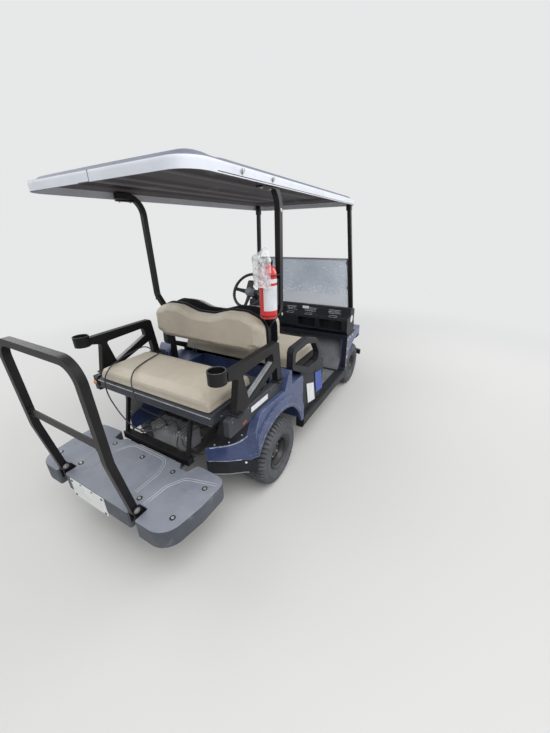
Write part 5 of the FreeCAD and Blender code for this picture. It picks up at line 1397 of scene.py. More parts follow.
# Corners of the labels on its outer face, places of its screws: x and z
HIP_WHITE_LABEL = [(443, 544), (582, 495), (621, 324), (484, 355)]
HIP_BLUE_LABEL = [(606, 571), (734, 545), (778, 356), (640, 375)]
HIP_SCREWS = [(390, 330), (390, 600), (560, 620), (700, 330)]
BODY_SHOULDER = [(66, 664), (160, 664), (160, 786, 20), (132, 786, 16), (72, 690, 20)]


def hip_trim():
    white = Shape()
    blue = Shape()
    shoulder = Shape()
    screws = Shape()
    for side in SIDES:
        y = side * (HIP_FACE_Y + 0.4)
        side_slab(white, y, HIP_WHITE_LABEL, side * 0.0006)
        side_slab(blue, y, HIP_BLUE_LABEL, side * 0.0006)
        for x, z in HIP_SCREWS:
            screws.rivet(mm(x, side * HIP_FACE_Y, z), ACROSS * side, 0.006)
        side_plate(shoulder, BODY_SHOULDER, side * 470, side * 596)
    white.done("white_labels", "blank_label", slot="black_plastic")
    blue.done("blue_labels", "blue_label", slot="black_plastic")
    shoulder.done("body_shoulders", "navy_moulding", bevel=0.006, levels=3)
    screws.done("hip_screws", "dark_metal", slot="black_plastic")


hip_trim()


# Fire extinguisher: valve, lever, gauge, hose, straps and blank labels
BOTTLE = (54, -495)
BOTTLE_LOW_Z = 1136
# The bottle's profile in metres: height, radius
BOTTLE_PROFILE = [
    (0, 0.034), (0.002, 0.042), (0.006, 0.047), (0.014, 0.0495), (0.022, 0.05), (0.024, 0.0502),
    (0.026, 0.05), (0.245, 0.05), (0.252, 0.0497), (0.262, 0.048), (0.275, 0.043), (0.286, 0.034),
    (0.293, 0.024), (0.298, 0.0175), (0.306, 0.0165), (0.306, 0.0155),
]
VALVE_PROFILE = [(0.304, 0.0165), (0.308, 0.018), (0.312, 0.0165), (0.316, 0.0125), (0.332, 0.0125),
                 (0.334, 0.0105), (0.336, 0.004)]
OUTLET_Z = 322
HOSE_ROUTE = [(32, 0, 322), (46, 2, 318), (54, 6, 298), (56, 10, 262), (55, 12, 220), (54, 12, 176),
              (54, 12, 140)]
# Paper labels: low and high z, first and last angle; they lie between two radii
BOTTLE_LABELS = [(52, 190, 180, 318), (204, 226, 190, 300)]
LABEL_RADII = (50.3, 50.7)
LABEL_STEPS = 20
STRAP_HEIGHTS = (14, 236)
STRAP_REACH = 51.4


def bottle_at(x, y, z):
    return mm(BOTTLE[0] + x, BOTTLE[1] + y, BOTTLE_LOW_Z + z)


def bottle_arc(radius, start, end, z):
    ring = []
    for step in range(LABEL_STEPS + 1):
        angle = math.radians(start + (end - start) * step / LABEL_STEPS)
        ring.append(bottle_at(radius * math.cos(angle), radius * math.sin(angle), z))
    return ring


def extinguisher():
    shape = Shape()
    shape.turned(BOTTLE_PROFILE, bottle_at(0, 0, 0), UP, 48)
    shape.done("bottle", "red_paint", replaces=("fire_extinguisher",), angle=30)

    valve = Shape()
    valve.turned(VALVE_PROFILE, bottle_at(0, 0, 0), UP, 28)
    valve.turned([(0, 0.006), (0.016, 0.006), (0.018, 0.0075), (0.024, 0.0075)],
                 bottle_at(8, 0, OUTLET_Z), ALONG, 16)
    valve.turned([(0, 0.011), (0.006, 0.011), (0.0075, 0.0095)], bottle_at(0, -12, OUTLET_Z), -ACROSS, 24)
    valve.done("bottle_valve", "dark_metal", slot="zinc_steel")

    face = Shape()
    face.turned([(0, 0.0092), (0.0005, 0.0088)], bottle_at(0, -19.5, OUTLET_Z), -ACROSS, 24)
    face.done("gauge_face", "blank_label", slot="red_paint")

    lever = Shape()
    for low_z, tip_z in ((330, 340), (324, 312)):
        rail = [bottle_at(14, 0, low_z), bottle_at(-4, 0, low_z + 1), bottle_at(-30, 0, (low_z + tip_z) / 2),
                bottle_at(-58, 0, tip_z)]
        for first, second in zip(rail, rail[1:]):
            lever.bar(first, second, 0.013, 0.0028)
    # the pull ring of its pin
    lever.run([bottle_at(2, -10, 327), bottle_at(2, -17, 328), bottle_at(0, -21, 322),
               bottle_at(-3, -18, 316), bottle_at(-2, -10, 318)], 0.0011, 6)
    lever.done("bottle_lever", "black_steel", bevel=0.0006)

    hose = Shape()
    line = [bottle_at(*place) for place in HOSE_ROUTE]
    hose.run(smooth_line(line, 4), 0.0065, 12)
    hose.turned([(0, 0.0075), (0.02, 0.0085), (0.045, 0.0105), (0.047, 0.0095)],
                line[-1] + UP * 0.004, -UP, 18)
    hose.done("bottle_hose", "black_plastic")

    labels = Shape()
    near, far = LABEL_RADII
    for low_z, high_z, start, end in BOTTLE_LABELS:
        made = []
        for radius, z in ((near, low_z), (far, low_z), (far, high_z), (near, high_z)):
            made.append([labels.mesh.verts.new(place) for place in bottle_arc(radius, start, end, z)])
        labels.skin(made + made[:1], closed=False)
        labels.mesh.faces.new([row[0] for row in made])
        labels.mesh.faces.new([row[-1] for row in reversed(made)])
    labels.done("bottle_labels", "paper_label", slot="red_paint")

    straps = Shape()
    for z in STRAP_HEIGHTS:
        ring = []
        for step in range(48):
            angle = 2 * math.pi * step / 48
            out = Vector((math.cos(angle), math.sin(angle)))
            reach = STRAP_REACH
            # the strap leaves the bottle toward the strut behind it
            if out.x > 0.2:
                reach += 26 * ((out.x - 0.2) / 0.8) ** 2
            ring.append(bottle_at(out.x * reach + (12 if out.x > 0.6 else 0), out.y * reach, z + 8))
        straps.run(ring, 0.0017, 8, closed=True, squash=2.0)
    straps.done("bottle_straps", "black_plastic")


extinguisher()


# Torn film bag: gathered above the bottle's valve, loose down its left side, its edges ragged
BAG_TOP_Z = 384
BAG_FOOT_Z = 178
BAG_FIRST_ANGLE = 72
BAG_SPAN = 154
BAG_COLUMNS = 60
BAG_ROWS = 44


def film_bag():
    shape = Shape()
    rows = []
    for row in range(BAG_ROWS + 1):
        down = row / BAG_ROWS
        places = []
        for column in range(BAG_COLUMNS + 1):
            across = column / BAG_COLUMNS
            angle = math.radians(BAG_FIRST_ANGLE + BAG_SPAN * across)
            # ragged edges
            foot = BAG_FOOT_Z + 34 * noise.noise(Vector((across * 5, 3.1, 0.7)))
            z = BAG_TOP_Z + 9 * noise.noise(Vector((across * 9, 0.4, 5.2))) * (1 - down)
            z += (foot - z) * down
            gather = limited((BAG_TOP_Z - z) / 46)
            loose = math.sin(math.pi * min(1.0, across * 1.25))
            reach = 20 + (40 + 20 * loose) * gather * gather * (3 - 2 * gather)
            reach += max(0.0, (z - 366) * 0.7)
            # folds, and the creases between them
            spot = Vector((math.cos(angle) * 2.4, math.sin(angle) * 2.4, z * 0.017))
            reach += (abs(noise.noise(spot)) * 2 - 0.5) * 9 * (0.3 + 0.7 * gather)
            reach += abs(noise.noise(spot * 3.1)) * 5
            places.append(bottle_at(math.cos(angle) * reach, math.sin(angle) * reach, z))
        rows.append([shape.mesh.verts.new(place) for place in places])
    shape.skin(rows, closed=False)
    bag = shape.done("film_bag", "bag_film", slot="clear_pane", angle=180)


film_bag()


# Steering wheel: padded rim with grips, three spokes, hub cap with a blank round, column stalk
WHEEL_LEAN = 34
WHEEL_CENTRE = (965, 270, 1095)
WHEEL_RADIUS = 0.165
RIM_STEPS = 120
RIM_THICK = 0.0135
# Spokes, across and up from the hub: near end, far end
SPOKES = [((-26, -4), (-158, 8)), ((26, -4), (158, 8)), ((0, -26), (0, -158))]
# Along a spoke: share of its length, half width, depth below the rim
SPOKE_SECTIONS = [(0, 24, -26), (0.35, 20, -20), (0.7, 16, -12), (1, 17, -4)]
# Profiles in metres: distance along the column, radius
HUB_PROFILE = [(-0.05, 0.046), (-0.03, 0.05), (-0.012, 0.051), (-0.004, 0.047), (0.003, 0.04), (0.007, 0.028),
               (0.008, 0.027), (0.007, 0.026), (0.0085, 0.012)]
BOOT_PROFILE = [(0, 0.034), (0.02, 0.0355), (0.055, 0.032), (0.085, 0.028), (0.12, 0.026)]
BOOT_FOLD = [(0, 0.027), (0.004, 0.031), (0.008, 0.027)]


def dressed_wheel():
    lean = math.radians(WHEEL_LEAN)
    centre = mm(*WHEEL_CENTRE)
    axis = Vector((-math.cos(lean), 0, math.sin(lean)))
    up = Vector((math.sin(lean), 0, math.cos(lean)))
    body = "steering_wheel"

    def at_wheel(across, high, along=0.0):
        return centre + ACROSS * (across / 1000) + up * (high / 1000) + axis * (along / 1000)

    rim = Shape()
    rings = []
    for step in range(RIM_STEPS):
        angle = 2 * math.pi * step / RIM_STEPS
        out = ACROSS * math.cos(angle) + up * math.sin(angle)
        place = centre + out * WHEEL_RADIUS
        # ribbed all round, and a little thicker at the grips
        thick = RIM_THICK + 0.0009 * math.sin(angle * 40)
        if abs(math.cos(angle)) > 0.9:
            thick += 0.0012
        ring = []
        for part in range(14):
            turn = 2 * math.pi * part / 14
            ring.append(place + out * (math.cos(turn) * thick) + axis * (math.sin(turn) * thick * 0.92))
        rings.append(ring)
    rim.loops(rings, closed_run=True)
    rim.done("wheel_rim", "grip_rubber", body, slot="black_plastic", replaces=("steering_wheel",))

    spokes = Shape()
    for near, far in SPOKES:
        run = Vector((far[0] - near[0], far[1] - near[1])).normalized()
        side = Vector((-run.y, run.x))
        rings = []
        for share, half, along in SPOKE_SECTIONS:
            middle = Vector(near) * (1 - share) + Vector(far) * share
            ring = []
            for sign, lift in ((-1, -4), (1, -4), (1, 3), (0.6, 6), (-0.6, 6), (-1, 3)):
                place = middle + side * (half * sign)
                ring.append(at_wheel(place.x, place.y, along + lift))
            rings.append(ring)
        spokes.loops(rings)
    spokes.done("wheel_spokes", "black_plastic", body, bevel=0.002)

    hub = Shape()
    hub.turned(HUB_PROFILE, centre, axis, 40)
    hub.done("wheel_hub", "hub_grey", body, slot="grey_plastic", angle=50)

    clip = Shape()
    clip.bar(at_wheel(0, 22, 4), at_wheel(0, 92, 8), 0.07, 0.004)
    clip.bar(at_wheel(0, 88, 12), at_wheel(0, 96, 12), 0.05, 0.008)
    clip.done("card_clip", "black_plastic", body, bevel=0.0015)

    stalk = Shape()
    stalk.turned(BOOT_PROFILE, centre - axis * 0.052, -axis, 32)
    for index in range(6):
        stalk.turned(BOOT_FOLD, centre - axis * (0.40 + index * 0.011), -axis, 32)
    stalk.done("column_boot", "black_plastic", angle=50)


dressed_wheel()


# Dash: rims of the cup holders, silver dots behind them as painted glints of vent holes, pocket edges, key
# switch, small blank labels
# Middles of the cups: x and y
DASH_CUPS = [(1378, -430), (1378, -170), (1378, 40), (1378, 480)]
DASH_CUP_RADIUS = 0.039
DASH_CUP_Z = 825
# Pockets: low y, high y, low z, high z
DASH_POCKETS = [(-540, -300, 700, 805), (-270, -60, 700, 805)]
# Fields of silver dots, painted glints of vent holes: y of their middles; each has rows of dots
DOT_FIELDS = [-430, -170, 40]
DOT_ROWS = 3
DOTS_IN_ROW = 8
# Knobs: y, radius
DASH_KNOBS = [(250, 0.017), (150, 0.014), (110, 0.014)]
KEY_SWITCH = [(0, 0.017), (0.005, 0.017), (0.007, 0.0145), (0.007, 0.009), (0.013, 0.009), (0.014, 0.007)]
# Black edging of the front opening, its plate below the dash a painted shade: outlines in y, z, corner radius
DASH_SHADE_PLATE = [(-601, 618), (601, 618), (601, 662, 14), (-601, 662, 14)]
EDGING_FRONT_X = 1346.5


def dash_trim():
    rims = Shape()
    cups = Shape()
    for x, y in DASH_CUPS:
        # the rim lies a little askew
        ring = circle(mm(x, y, DASH_CUP_Z), DASH_CUP_RADIUS, 36, ALONG + UP * (0.0001 / DASH_CUP_RADIUS))
        cups.run(ring, 0.0042, 8, closed=True)
    cups.done("dash_cup_rims", "pale_strip", slot="grey_plastic")
    for low_y, high_y, low_z, high_z in DASH_POCKETS:
        corners = [(low_y, low_z, 12), (high_y, low_z, 12), (high_y, high_z, 12), (low_y, high_z, 12)]
        ring = []
        for place in outlined(corners):
            slope = 1330 + 8 * (822 - place.y) / 122
            ring.append(mm(slope - 0.5, place.x, place.y))
        rims.run(ring, 0.004, 8, closed=True)
    rims.run([mm(1432, -584, 902), mm(1432, 0, 902), mm(1432, 584, 902)], 0.004, 8)
    rims.done("dash_edges", "black_plastic")

    # painted glints: silver domes where the vent holes catch the light
    dots = Shape()
    for middle in DOT_FIELDS:
        for row in range(DOT_ROWS):
            for index in range(DOTS_IN_ROW):
                y = middle - 56 + index * 16 + (row % 2) * 8
                dots.rivet(mm(1421.5 + row * 2.1, y, 846 + row * 15), -ALONG, 0.005)
    dots.done("dash_vent_glints", "dot_silver", slot="black_plastic")

    knobs = Shape()
    tilt = (UP * 0.35 - ALONG).normalized()
    for y, radius in DASH_KNOBS:
        place = mm(1424, y, 862)
        knobs.turned([(0, radius * 1.3), (0.003, radius * 1.3), (0.004, radius), (0.014, radius * 0.9),
                      (0.016, radius * 0.75)], place, tilt, 24)
    knobs.bar(mm(1405, 250, 866), mm(1398, 250, 868), 0.004, 0.022)
    # key switch
    knobs.turned(KEY_SWITCH, mm(1424, -20, 866), tilt, 24)
    knobs.done("dash_knobs", "black_plastic", bevel=0.0006)

    labels = Shape()
    labels.slab([mm(1421.4, -150, 868), mm(1421.4, -78, 868), mm(1425.6, -78, 893),
                 mm(1425.6, -150, 893)], Vector((-0.0007, 0, 0.0001)))
    labels.turned([(0, 0.036), (0.0006, 0.036)], mm(1470, -590, 800), -ACROSS, 28)
    labels.done("dash_labels", "blank_label", slot="black_plastic")

    lip = Shape()
    lip.run([mm(1338, -586, 823), mm(1334, 0, 823), mm(1338, 586, 823)], 0.005, 8)
    lip.done("dash_shelf_lip", "black_plastic")

    # black edging round the cabin's front opening: over the cowl's rear edge, and below the dash a black
    # plate that is painted shade under the dash
    edging = Shape()
    cross_plate(edging, DASH_SHADE_PLATE, EDGING_FRONT_X - 6.5, EDGING_FRONT_X)
    for side in SIDES:
        low_y, high_y = sorted((side * 554, side * 601.5))
        corners = [(low_y, 322), (high_y, 322), (high_y, 630), (low_y, 630)]
        cross_plate(edging, corners, EDGING_FRONT_X - 5.5, EDGING_FRONT_X)
    edging.done("cabin_edging_and_shade", "black_plastic", bevel=0.002)


dash_trim()


# Windshield: edge trim, hinge strip between the panes, buttons on the clips
STRUT_TOP = Vector((1500, 475, 1780))
STRUT_FOOT = Vector((1600, 565, 620))
# Folded panes: distance ahead of the strut, low z, high z
PANES = [(2.5, 806, 1350), (14.5, 812, 1340)]
HINGE_Z = 1350
CLIP_HEIGHTS = (850, 1080, 1310)


def strut_at(z):
    """Middle of the left front strut at a height."""
    return STRUT_TOP + (STRUT_FOOT - STRUT_TOP) * ((STRUT_TOP.z - z) / (STRUT_TOP.z - STRUT_FOOT.z))


def glazing_trim():
    trim = Shape()
    for forward, low_z, high_z in PANES:
        ring = []
        for z, sign in ((low_z, -1), (low_z, 1), (high_z, 1), (high_z, -1)):
            middle = strut_at(z)
            ring.append(mm(middle.x + forward, sign * (middle.y - 27), z))
        for first, second in zip(ring, ring[1:] + ring[:1]):
            trim.bar(first, second, 0.009, 0.008, side=ALONG)
    trim.done("pane_trim", "hinge_rubber", slot="black_plastic", bevel=0.0012)

    hinge = Shape()
    middle = strut_at(1346)
    hinge.bar(mm(middle.x + 9, 30 - middle.y, HINGE_Z), mm(middle.x + 9, middle.y - 30, HINGE_Z),
              0.026, 0.009, side=ALONG)
    hinge.done("pane_hinge", "pale_strip", slot="clear_pane", bevel=0.002)

    buttons = Shape()
    for z in CLIP_HEIGHTS:
        middle = strut_at(z)
        for side in SIDES:
            buttons.bolt(mm(middle.x - 6, side * (middle.y - 30), z), -ALONG, 0.006, 0.006)
    buttons.done("clip_buttons", "dark_metal", slot="zinc_steel")

    # feet of the front struts on the cowl, and brackets at their heads
    feet = Shape()
    bolts = Shape()
    for side in SIDES:
        for z in (670, 720):
            place = strut_at(z)
            bolts.bolt(mm(place.x, side * (place.y + 21), z), ACROSS * side, 0.0075, 0.007)
        foot = strut_at(646)
        low_y, high_y = sorted((side * (foot.y - 24), side * (foot.y + 22)))
        feet.box(mm(foot.x - 34, low_y, 640.2), mm(foot.x + 40, high_y, 650))
        low = strut_at(655)
        high = strut_at(745)
        feet.bar(mm(low.x, side * (low.y + 18.5), 650), mm(high.x, side * (high.y + 18.5), 745), 0.005, 0.05)
        bolts.bolt(mm(foot.x + 30, side * foot.y, 650), UP, 0.007, 0.006)
        head = strut_at(1776)
        feet.bar(mm(head.x, side * head.y, 1760), mm(head.x - 4, side * (head.y - 3), 1798), 0.042, 0.042)
        # rear strut clamps under the roof and bolts down its side
        low_y, high_y = sorted((side * 508, side * 548))
        feet.box(mm(-58, low_y, 1790), mm(60, high_y, 1797.5))
        for x in (-40, 40):
            bolts.bolt(mm(x, side * 528, 1790), -UP, 0.007, 0.006)
        for z in (1150, 1700):
            bolts.bolt(mm(125, side * 544, z), ACROSS * side, 0.006, 0.005)
    feet.done("strut_feet", "black_steel", bevel=0.002)
    bolts.done("strut_bolts", "zinc_steel")


glazing_trim()


# Tail of the body: outline of its corners in x and y, and the line of its upper skin in x and z
TAIL_CORNER = [(-428, 331), (-405, 372, 40), (-366, 443, 120), (-300, 526, 120), (-266, 612)]
TAIL_SKIN = [(-425, 465), (-315, 500, 80), (-225, 665, 60), (-150, 665)]
# Stations along the tail, and the worn line low on its corner: x and y
TAIL_START_X = -424
TAIL_STEP = 5
TAIL_STATIONS = 41
TAIL_LOW_LINE = [(-421, 344), (-404, 374), (-366, 441.5), (-316, 508)]
TAIL_LOW_LINE_Z = 369
TAIL_SCREWS_X = (-396, -352, -304)


def tail_trim():
    corner = open_line(TAIL_CORNER)
    skin = open_line(TAIL_SKIN)
    cover = Shape()
    edge = Shape()
    foot = Shape()
    screws = Shape()
    for side in SIDES:
        low_rows = []
        high_rows = []
        top_path = []
        foot_path = []
        for step in range(TAIL_STATIONS):
            x = TAIL_START_X + step * TAIL_STEP
            z = along_line(skin, x)
            ahead = Vector((x + 2, along_line(skin, x + 2)))
            behind = Vector((x - 2, along_line(skin, max(x - 2, TAIL_SKIN[0][0]))))
            slope = ahead - behind
            out = Vector((-slope.y, slope.x)).normalized()
            far = min(along_line(corner, x), 540)
            near = min(336, far - 2)
            for rows, lift in ((low_rows, 0.4), (high_rows, 2.2)):
                rows.append([mm(x + out.x * lift, side * y, z + out.y * lift) for y in (near, far - 5)])
            if -415 <= x <= -262:
                top_path.append(mm(x + 1, side * (far + 0.4), z - 5))
            if x <= -290:
                foot_path.append(mm(x, side * (along_line(corner, x) + 0.6), 272))
        cover.loops([[low[0], low[1], high[1], high[0]] for low, high in zip(low_rows, high_rows)])
        edge.run(top_path, 0.0034, 8)
        edge.run([mm(x, side * y, TAIL_LOW_LINE_Z) for x, y in TAIL_LOW_LINE], 0.0022, 8)
        foot.run(foot_path, 0.003, 8)
        for x in TAIL_SCREWS_X:
            place = Vector((x + 7, along_line(corner, x) - 14))
            screws.rivet(mm(place.x, side * place.y, along_line(skin, place.x) + 2.6), UP, 0.0058)
        screws.rivet(mm(-300, side * 527, 345), (ACROSS * side - ALONG * 0.9).normalized(), 0.008)
    # painted shade: a near-black sheet over the top of each tail corner, for the shade of the recess there
    cover.done("tail_recess_shade", "dark_joint", slot="navy_moulding", angle=50)
    edge.done("tail_worn_edge", "worn_paint", slot="navy_moulding")
    foot.done("guard_worn_edge", "pale_strip", slot="black_plastic")
    screws.done("tail_screws", "blank_label", slot="zinc_steel")


tail_trim()


# Front cowl: lamp bezels and reflectors, hood joint, arch lips, bumper slots, side bolts
# Plan of the body's left side at the cowl and at the tail: x and y
COWL_CORNER = [(1340, 600), (1762, 600), (1942, 560, 160), (2072, 380, 120), (2112, 300)]
REAR_CORNER = TAIL_CORNER[:-1] + [(-270, 603), (380, 603)]
LAMP_MIDDLE = (1985, 372, 520)
# The reflector's profile in metres: offset forward, radius
REFLECTOR = [(0, 0.004), (0.004, 0.014), (0.012, 0.024), (0.024, 0.031), (0.026, 0.0315), (0.026, 0.029),
             (0.012, 0.021), (0.003, 0.010)]
# Opening of the left lamp: y, z, corner radius
LAMP_OPENING = [(300, 480, 15), (450, 480, 15), (450, 560, 15), (300, 560, 15)]
HOOD_SIDE_JOINT = [(1562, 788), (1625, 788), (1760, 754), (1880, 720)]
# Wheel arches: x of the middle, radius, plan of the body's side, first and last angle
ARCH_MIDDLE_Z = 228.6
ARCHES = [(1700, 348, COWL_CORNER, 14, 168), (0, 337, REAR_CORNER, 20, 150)]
ARCH_STEPS = 60
# Rivets in the body's sides: x and z
BODY_RIVETS = [(1372, 610), (1372, 520), (1372, 430), (1372, 340), (1440, 618), (1520, 622)]
BUMPER_SLOTS = 7
GRILLE_BARS = 5


def front_trim():
    lamps = Shape()
    bezels = Shape()
    x, y, z = LAMP_MIDDLE
    for side in SIDES:
        lamps.turned(REFLECTOR, mm(x, side * y, z), ALONG, 28)
        ring = []
        for place in outlined([(side * y, z, radius) for y, z, radius in LAMP_OPENING]):
            # the nose curves back toward the side and leans back upward
            aside = abs(place.x) - 300
            ring.append(mm(2079 - 0.0022 * aside * aside - (place.y - 480) * 0.33, place.x, place.y))
        bezels.run(ring, 0.004, 8, closed=True)
    lamps.done("lamp_reflectors", "dot_silver", slot="lamp_lens", angle=60)
    bezels.done("lamp_bezels", "black_plastic")

    joints = Shape()
    for side in SIDES:
        joints.run([mm(x, side * 471, z) for x, z in HOOD_SIDE_JOINT], 0.0022, 6)
        joints.run([mm(1350, side * 600.5, 470), mm(1420, side * 600.5, 474)], 0.0016, 6)
    joints.run([mm(1562, -465, 790.5), mm(1561, 0, 791), mm(1562, 465, 790.5)], 0.004, 8)
    joints.done("hood_joints", "dark_joint", slot="navy_moulding")

    # the lips of the wheel arches follow the body's sides round its corners
    lips = Shape()
    for side in SIDES:
        for centre, radius, corners, start, end in ARCHES:
            plan = open_line(corners)
            path = []
            for step in range(ARCH_STEPS + 1):
                angle = math.radians(start + (end - start) * step / ARCH_STEPS)
                x = centre + radius * math.cos(angle)
                z = ARCH_MIDDLE_Z + radius * math.sin(angle)
                path.append(mm(x, side * (along_line(plan, x) - 1), z))
            lips.run(path, 0.0045, 8)
    lips.done("arch_lips", "navy_moulding")

    bolts = Shape()
    for side in SIDES:
        for x, z in BODY_RIVETS:
            bolts.rivet(mm(x, side * 600, z), ACROSS * side, 0.008)
    bolts.done("body_rivets", "dot_silver", slot="zinc_steel")

    slots = Shape()
    for index in range(BUMPER_SLOTS):
        y = -180 + index * 60
        slots.box(mm(2106 - abs(y) * 0.015, y - 22, 268), mm(2110.6 - abs(y) * 0.02, y + 22, 282))
    slots.done("bumper_slots", "dark_joint", slot="black_plastic", bevel=0.003)

    vents = Shape()
    for index in range(GRILLE_BARS):
        z = 404 + index * 13
        vents.bar(mm(2088.5, -200, z), mm(2088.5, 200, z), 0.004, 0.006, side=ALONG)
    vents.done("nose_grille", "black_plastic", bevel=0.0008)


front_trim()


# Cabin floor: ribs on the mat, treads of the pedals, grip lines along the sills
MAT_RIBS = 27
SILL_GRIPS = 6
# The toe board's rise: x gained with each unit of height
TOE_SLOPE = 0.643
# Pedals: y of the middle, half width, low z, high z
PEDALS = [(200, 38, 437, 529), (345, 60, 429, 504)]


def floor_trim():
    ribs = Shape()
    for index in range(MAT_RIBS):
        y = -494 + index * 38
        ribs.bar(mm(805, y, 312.6), mm(1242, y, 312.6), 0.012, 0.003)
    ribs.done("mat_ribs", "mat_rubber", bevel=0.0006)

    grips = Shape()
    for side in SIDES:
        for index in range(SILL_GRIPS):
            y = side * (552 + index * 8)
            grips.bar(mm(360, y, 300.4), mm(1320, y, 300.4), 0.003, 0.002)
    grips.done("sill_grips", "black_plastic")

    # the mat goes on up the toe board
    toe = Shape()
    corners = [(-540, 306), (540, 306), (540, 604), (-540, 604)]
    toe.slab([mm(1292 + TOE_SLOPE * (z - 303), y, z) for y, z in corners], Vector((-0.0034, 0, 0.0022)))
    toe.done("toe_mat", "mat_rubber", bevel=0.0012)

    treads = Shape()
    for middle, half, low_z, high_z in PEDALS:
        for index in range(int((high_z - low_z - 12) / 11)):
            z = low_z + 10 + 11 * index
            x = 1293.7 + TOE_SLOPE * (z - 430)
            treads.bar(mm(x, middle - half + 7, z), mm(x, middle + half - 7, z), 0.005, 0.004, side=ALONG)
    treads.done("pedal_treads", "mat_rubber", bevel=0.0006)


floor_trim()


# Grab bar: hinge bolts, and the ends of its rails with their screws
BAR_FOOT_Y = 300
RAIL_REAR_X = -940.5
RAIL_SCREW = [(0, 0.004), (0.003, 0.0065), (0.005, 0.0065)]
RAIL_SCREWS_Z = (802, 826)


def grab_bar_trim():
    bolts = Shape()
    for side in SIDES:
        for sense in (1, -1):
            place = mm(-885, side * BAR_FOOT_Y + sense * 26.5, 433)
            bolts.bolt(place, ACROSS * sense, 0.0095, 0.008)
        bolts.bolt(mm(-862, side * BAR_FOOT_Y + 24, 400.5), UP, 0.006, 0.005)
    bolts.done("bar_hinge_bolts", "zinc_steel")
    ends = Shape()
    for side in SIDES:
        y = side * 283.5
        low_y, high_y = sorted((y, y - side * 26))
        ends.box(mm(RAIL_REAR_X, low_y, 788), mm(-929, high_y, 840))
        for z in RAIL_SCREWS_Z:
            ends.turned(RAIL_SCREW, mm(RAIL_REAR_X - 0.5, side * 270, z), -ALONG, 6)
    ends.done("bar_rail_ends", "black_steel", "grab_bar", bevel=0.002)


grab_bar_trim()


# Underneath: dampers, spring clamps, brake cables and wiring
# Dampers on the left: foot, head
DAMPERS = [((40, 262, 190), (120, 214, 360)), ((1660, 250, 225), (1610, 214, 300))]
WIRES = [
    [(-430, -150, 470), (-452, -190, 448), (-448, -240, 440), (-420, -262, 430), (-330, -252, 400)],
    [(-430, -120, 466), (-470, -150, 440), (-478, -210, 425), (-455, -262, 408), (-400, -280, 380)],
    [(-424, 60, 470), (-455, 110, 452), (-470, 170, 436), (-440, 214, 420), (-380, 226, 396)],
    [(-311, -100, 470), (-270, -130, 440), (-200, -150, 420), (-60, -165, 396)],
    [(-311, 40, 470), (-260, 80, 446), (-180, 110, 424), (-60, 150, 396)],
]
BRAKE_CABLE = [(80, 300, 170), (200, 250, 190), (420, 120, 236), (800, 60, 250), (1100, 40, 262)]
# Clamps of the rear springs: y of their legs, low and high z
CLAMP_LEGS_Y = (172, 210)
CLAMP_LOW_Z = 200
CLAMP_HIGH_Z = 316
CHARGER_TOP_Z = 500


def under_trim():
    dampers = Shape()
    for side in SIDES:
        for foot, head in DAMPERS:
            low = mm(foot[0], side * foot[1], foot[2])
            ahead = mm(head[0], side * head[1], head[2]) - low
            size = ahead.length
            dampers.turned([(0, 0.010), (0.012, 0.010), (0.013, 0.019), (size * 0.55, 0.019),
                            (size * 0.56, 0.008), (size * 0.62, 0.008), (size * 0.63, 0.022),
                            (size - 0.014, 0.022), (size - 0.012, 0.010), (size, 0.010)], low, ahead, 20)
    dampers.done("dampers", "motor_case")

    clamps = Shape()
    for side in SIDES:
        for x in (-22, 22):
            for y in CLAMP_LEGS_Y:
                clamps.run([mm(x, side * y, CLAMP_LOW_Z), mm(x, side * y, CLAMP_HIGH_Z)], 0.004, 8)
                clamps.bolt(mm(x, side * y, CLAMP_HIGH_Z), UP, 0.006, 0.006)
    clamps.done("spring_clamps", "zinc_steel")

    wires = Shape()
    for points in WIRES:
        wires.run(smooth_line([mm(*place) for place in points]), 0.0045, 8)
    for side in SIDES:
        wires.run(smooth_line([mm(x, side * y, z) for x, y, z in BRAKE_CABLE]), 0.005, 8)
    wires.done("under_wires", "cord_jacket")

    plates = Shape()
    for x in (-425, -318):
        for y in (-170, 100):
            plates.bolt(mm(x, y, CHARGER_TOP_Z), UP, 0.0045, 0.003)
    plates.done("charger_screws", "zinc_steel")


under_trim()


# Ground and lamps
BACKGROUND = (0.8, 0.805, 0.81, 1)
GROUND_COLOUR = (0.62, 0.61, 0.59, 1)
SKY_COLOUR = (0.93, 0.96, 1.0, 1)
SKY_STRENGTH = 0.62
GROUND_HALF = 60.0
# Lamps: name, place, aimed at, width, strength
LAMPS = [
    ("sky_light", (-1500, -2600, 4200), (300, 0, 500), 4.0, 160),
    ("fill_light", (3600, -2600, 2600), (600, 0, 700), 3.0, 60),
    ("back_light", (-600, 3600, 3200), (400, 0, 800), 3.5, 70),
]


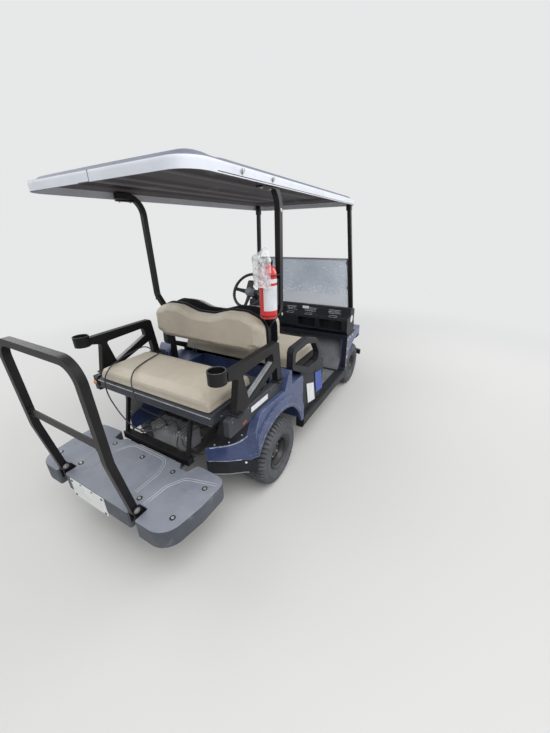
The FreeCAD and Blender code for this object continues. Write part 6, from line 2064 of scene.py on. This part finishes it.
def floor_and_light():
    mesh = bpy.data.meshes.new("floor")
    corners = [(x * GROUND_HALF, y * GROUND_HALF, 0) for x, y in ((-1, -1), (1, -1), (1, 1), (-1, 1))]
    mesh.from_pydata(corners, [], [(0, 1, 2, 3)])
    floor = new_object("floor", mesh)
    paint = bpy.data.materials.new("floor_paint")
    paint.use_nodes = True
    shader = paint.node_tree.nodes["Principled BSDF"]
    shader.inputs["Base Color"].default_value = GROUND_COLOUR
    shader.inputs["Roughness"].default_value = 0.9
    # far from the object the floor runs into the background
    place = add_node(paint.node_tree, "NewGeometry").outputs["Position"]
    away = add_node(paint.node_tree, "VectorMath", operation="LENGTH", inputs={0: place})
    far = add_node(paint.node_tree, "MapRange", inputs={"Value": away.outputs["Value"], "From Min": 1.7,
                                                        "From Max": 5.5})
    far.interpolation_type = "SMOOTHSTEP"
    haze = add_node(paint.node_tree, "Emission", inputs={"Color": BACKGROUND, "Strength": 1.0})
    rays = add_node(paint.node_tree, "LightPath")
    seen = add_node(paint.node_tree, "Math", operation="MAXIMUM",
                    inputs={0: rays.outputs["Is Camera Ray"], 1: rays.outputs["Is Transmission Ray"]})
    share = add_node(paint.node_tree, "Math", operation="MULTIPLY",
                     inputs={0: far.outputs["Result"], 1: seen.outputs[0]})
    mixed = add_node(paint.node_tree, "MixShader", inputs={0: share.outputs[0], 1: shader.outputs[0],
                                                           2: haze.outputs[0]})
    paint.node_tree.links.new(mixed.outputs[0], paint.node_tree.nodes["Material Output"].inputs["Surface"])
    mesh.materials.append(paint)

    world = bpy.data.worlds.new("sky")
    bpy.context.scene.world = world
    world.use_nodes = True
    tree = world.node_tree
    background = tree.nodes["Background"]
    background.inputs["Color"].default_value = SKY_COLOUR
    background.inputs["Strength"].default_value = SKY_STRENGTH
    seen = add_node(tree, "Background", inputs={"Color": BACKGROUND, "Strength": 1.0})
    path = add_node(tree, "LightPath")
    some = add_node(tree, "Math", operation="MAXIMUM", inputs={0: path.outputs["Is Camera Ray"],
                                                               1: path.outputs["Is Glossy Ray"]})
    some = add_node(tree, "Math", operation="MAXIMUM", inputs={0: some.outputs[0],
                                                               1: path.outputs["Is Transmission Ray"]})
    mix = add_node(tree, "MixShader", inputs={0: some.outputs[0], 1: background.outputs[0],
                                              2: seen.outputs[0]})
    tree.links.new(mix.outputs[0], tree.nodes["World Output"].inputs["Surface"])

    for name, place, aim, width, strength in LAMPS:
        data = bpy.data.lights.new(name, "AREA")
        data.size = width
        data.energy = strength
        lamp = new_object(name, data)
        lamp.location = mm(*place)
        lamp.rotation_euler = (mm(*aim) - mm(*place)).to_track_quat("-Z", "Y").to_euler()
    bpy.context.scene.view_settings.view_transform = "Standard"


floor_and_light()

bpy.context.view_layer.update()
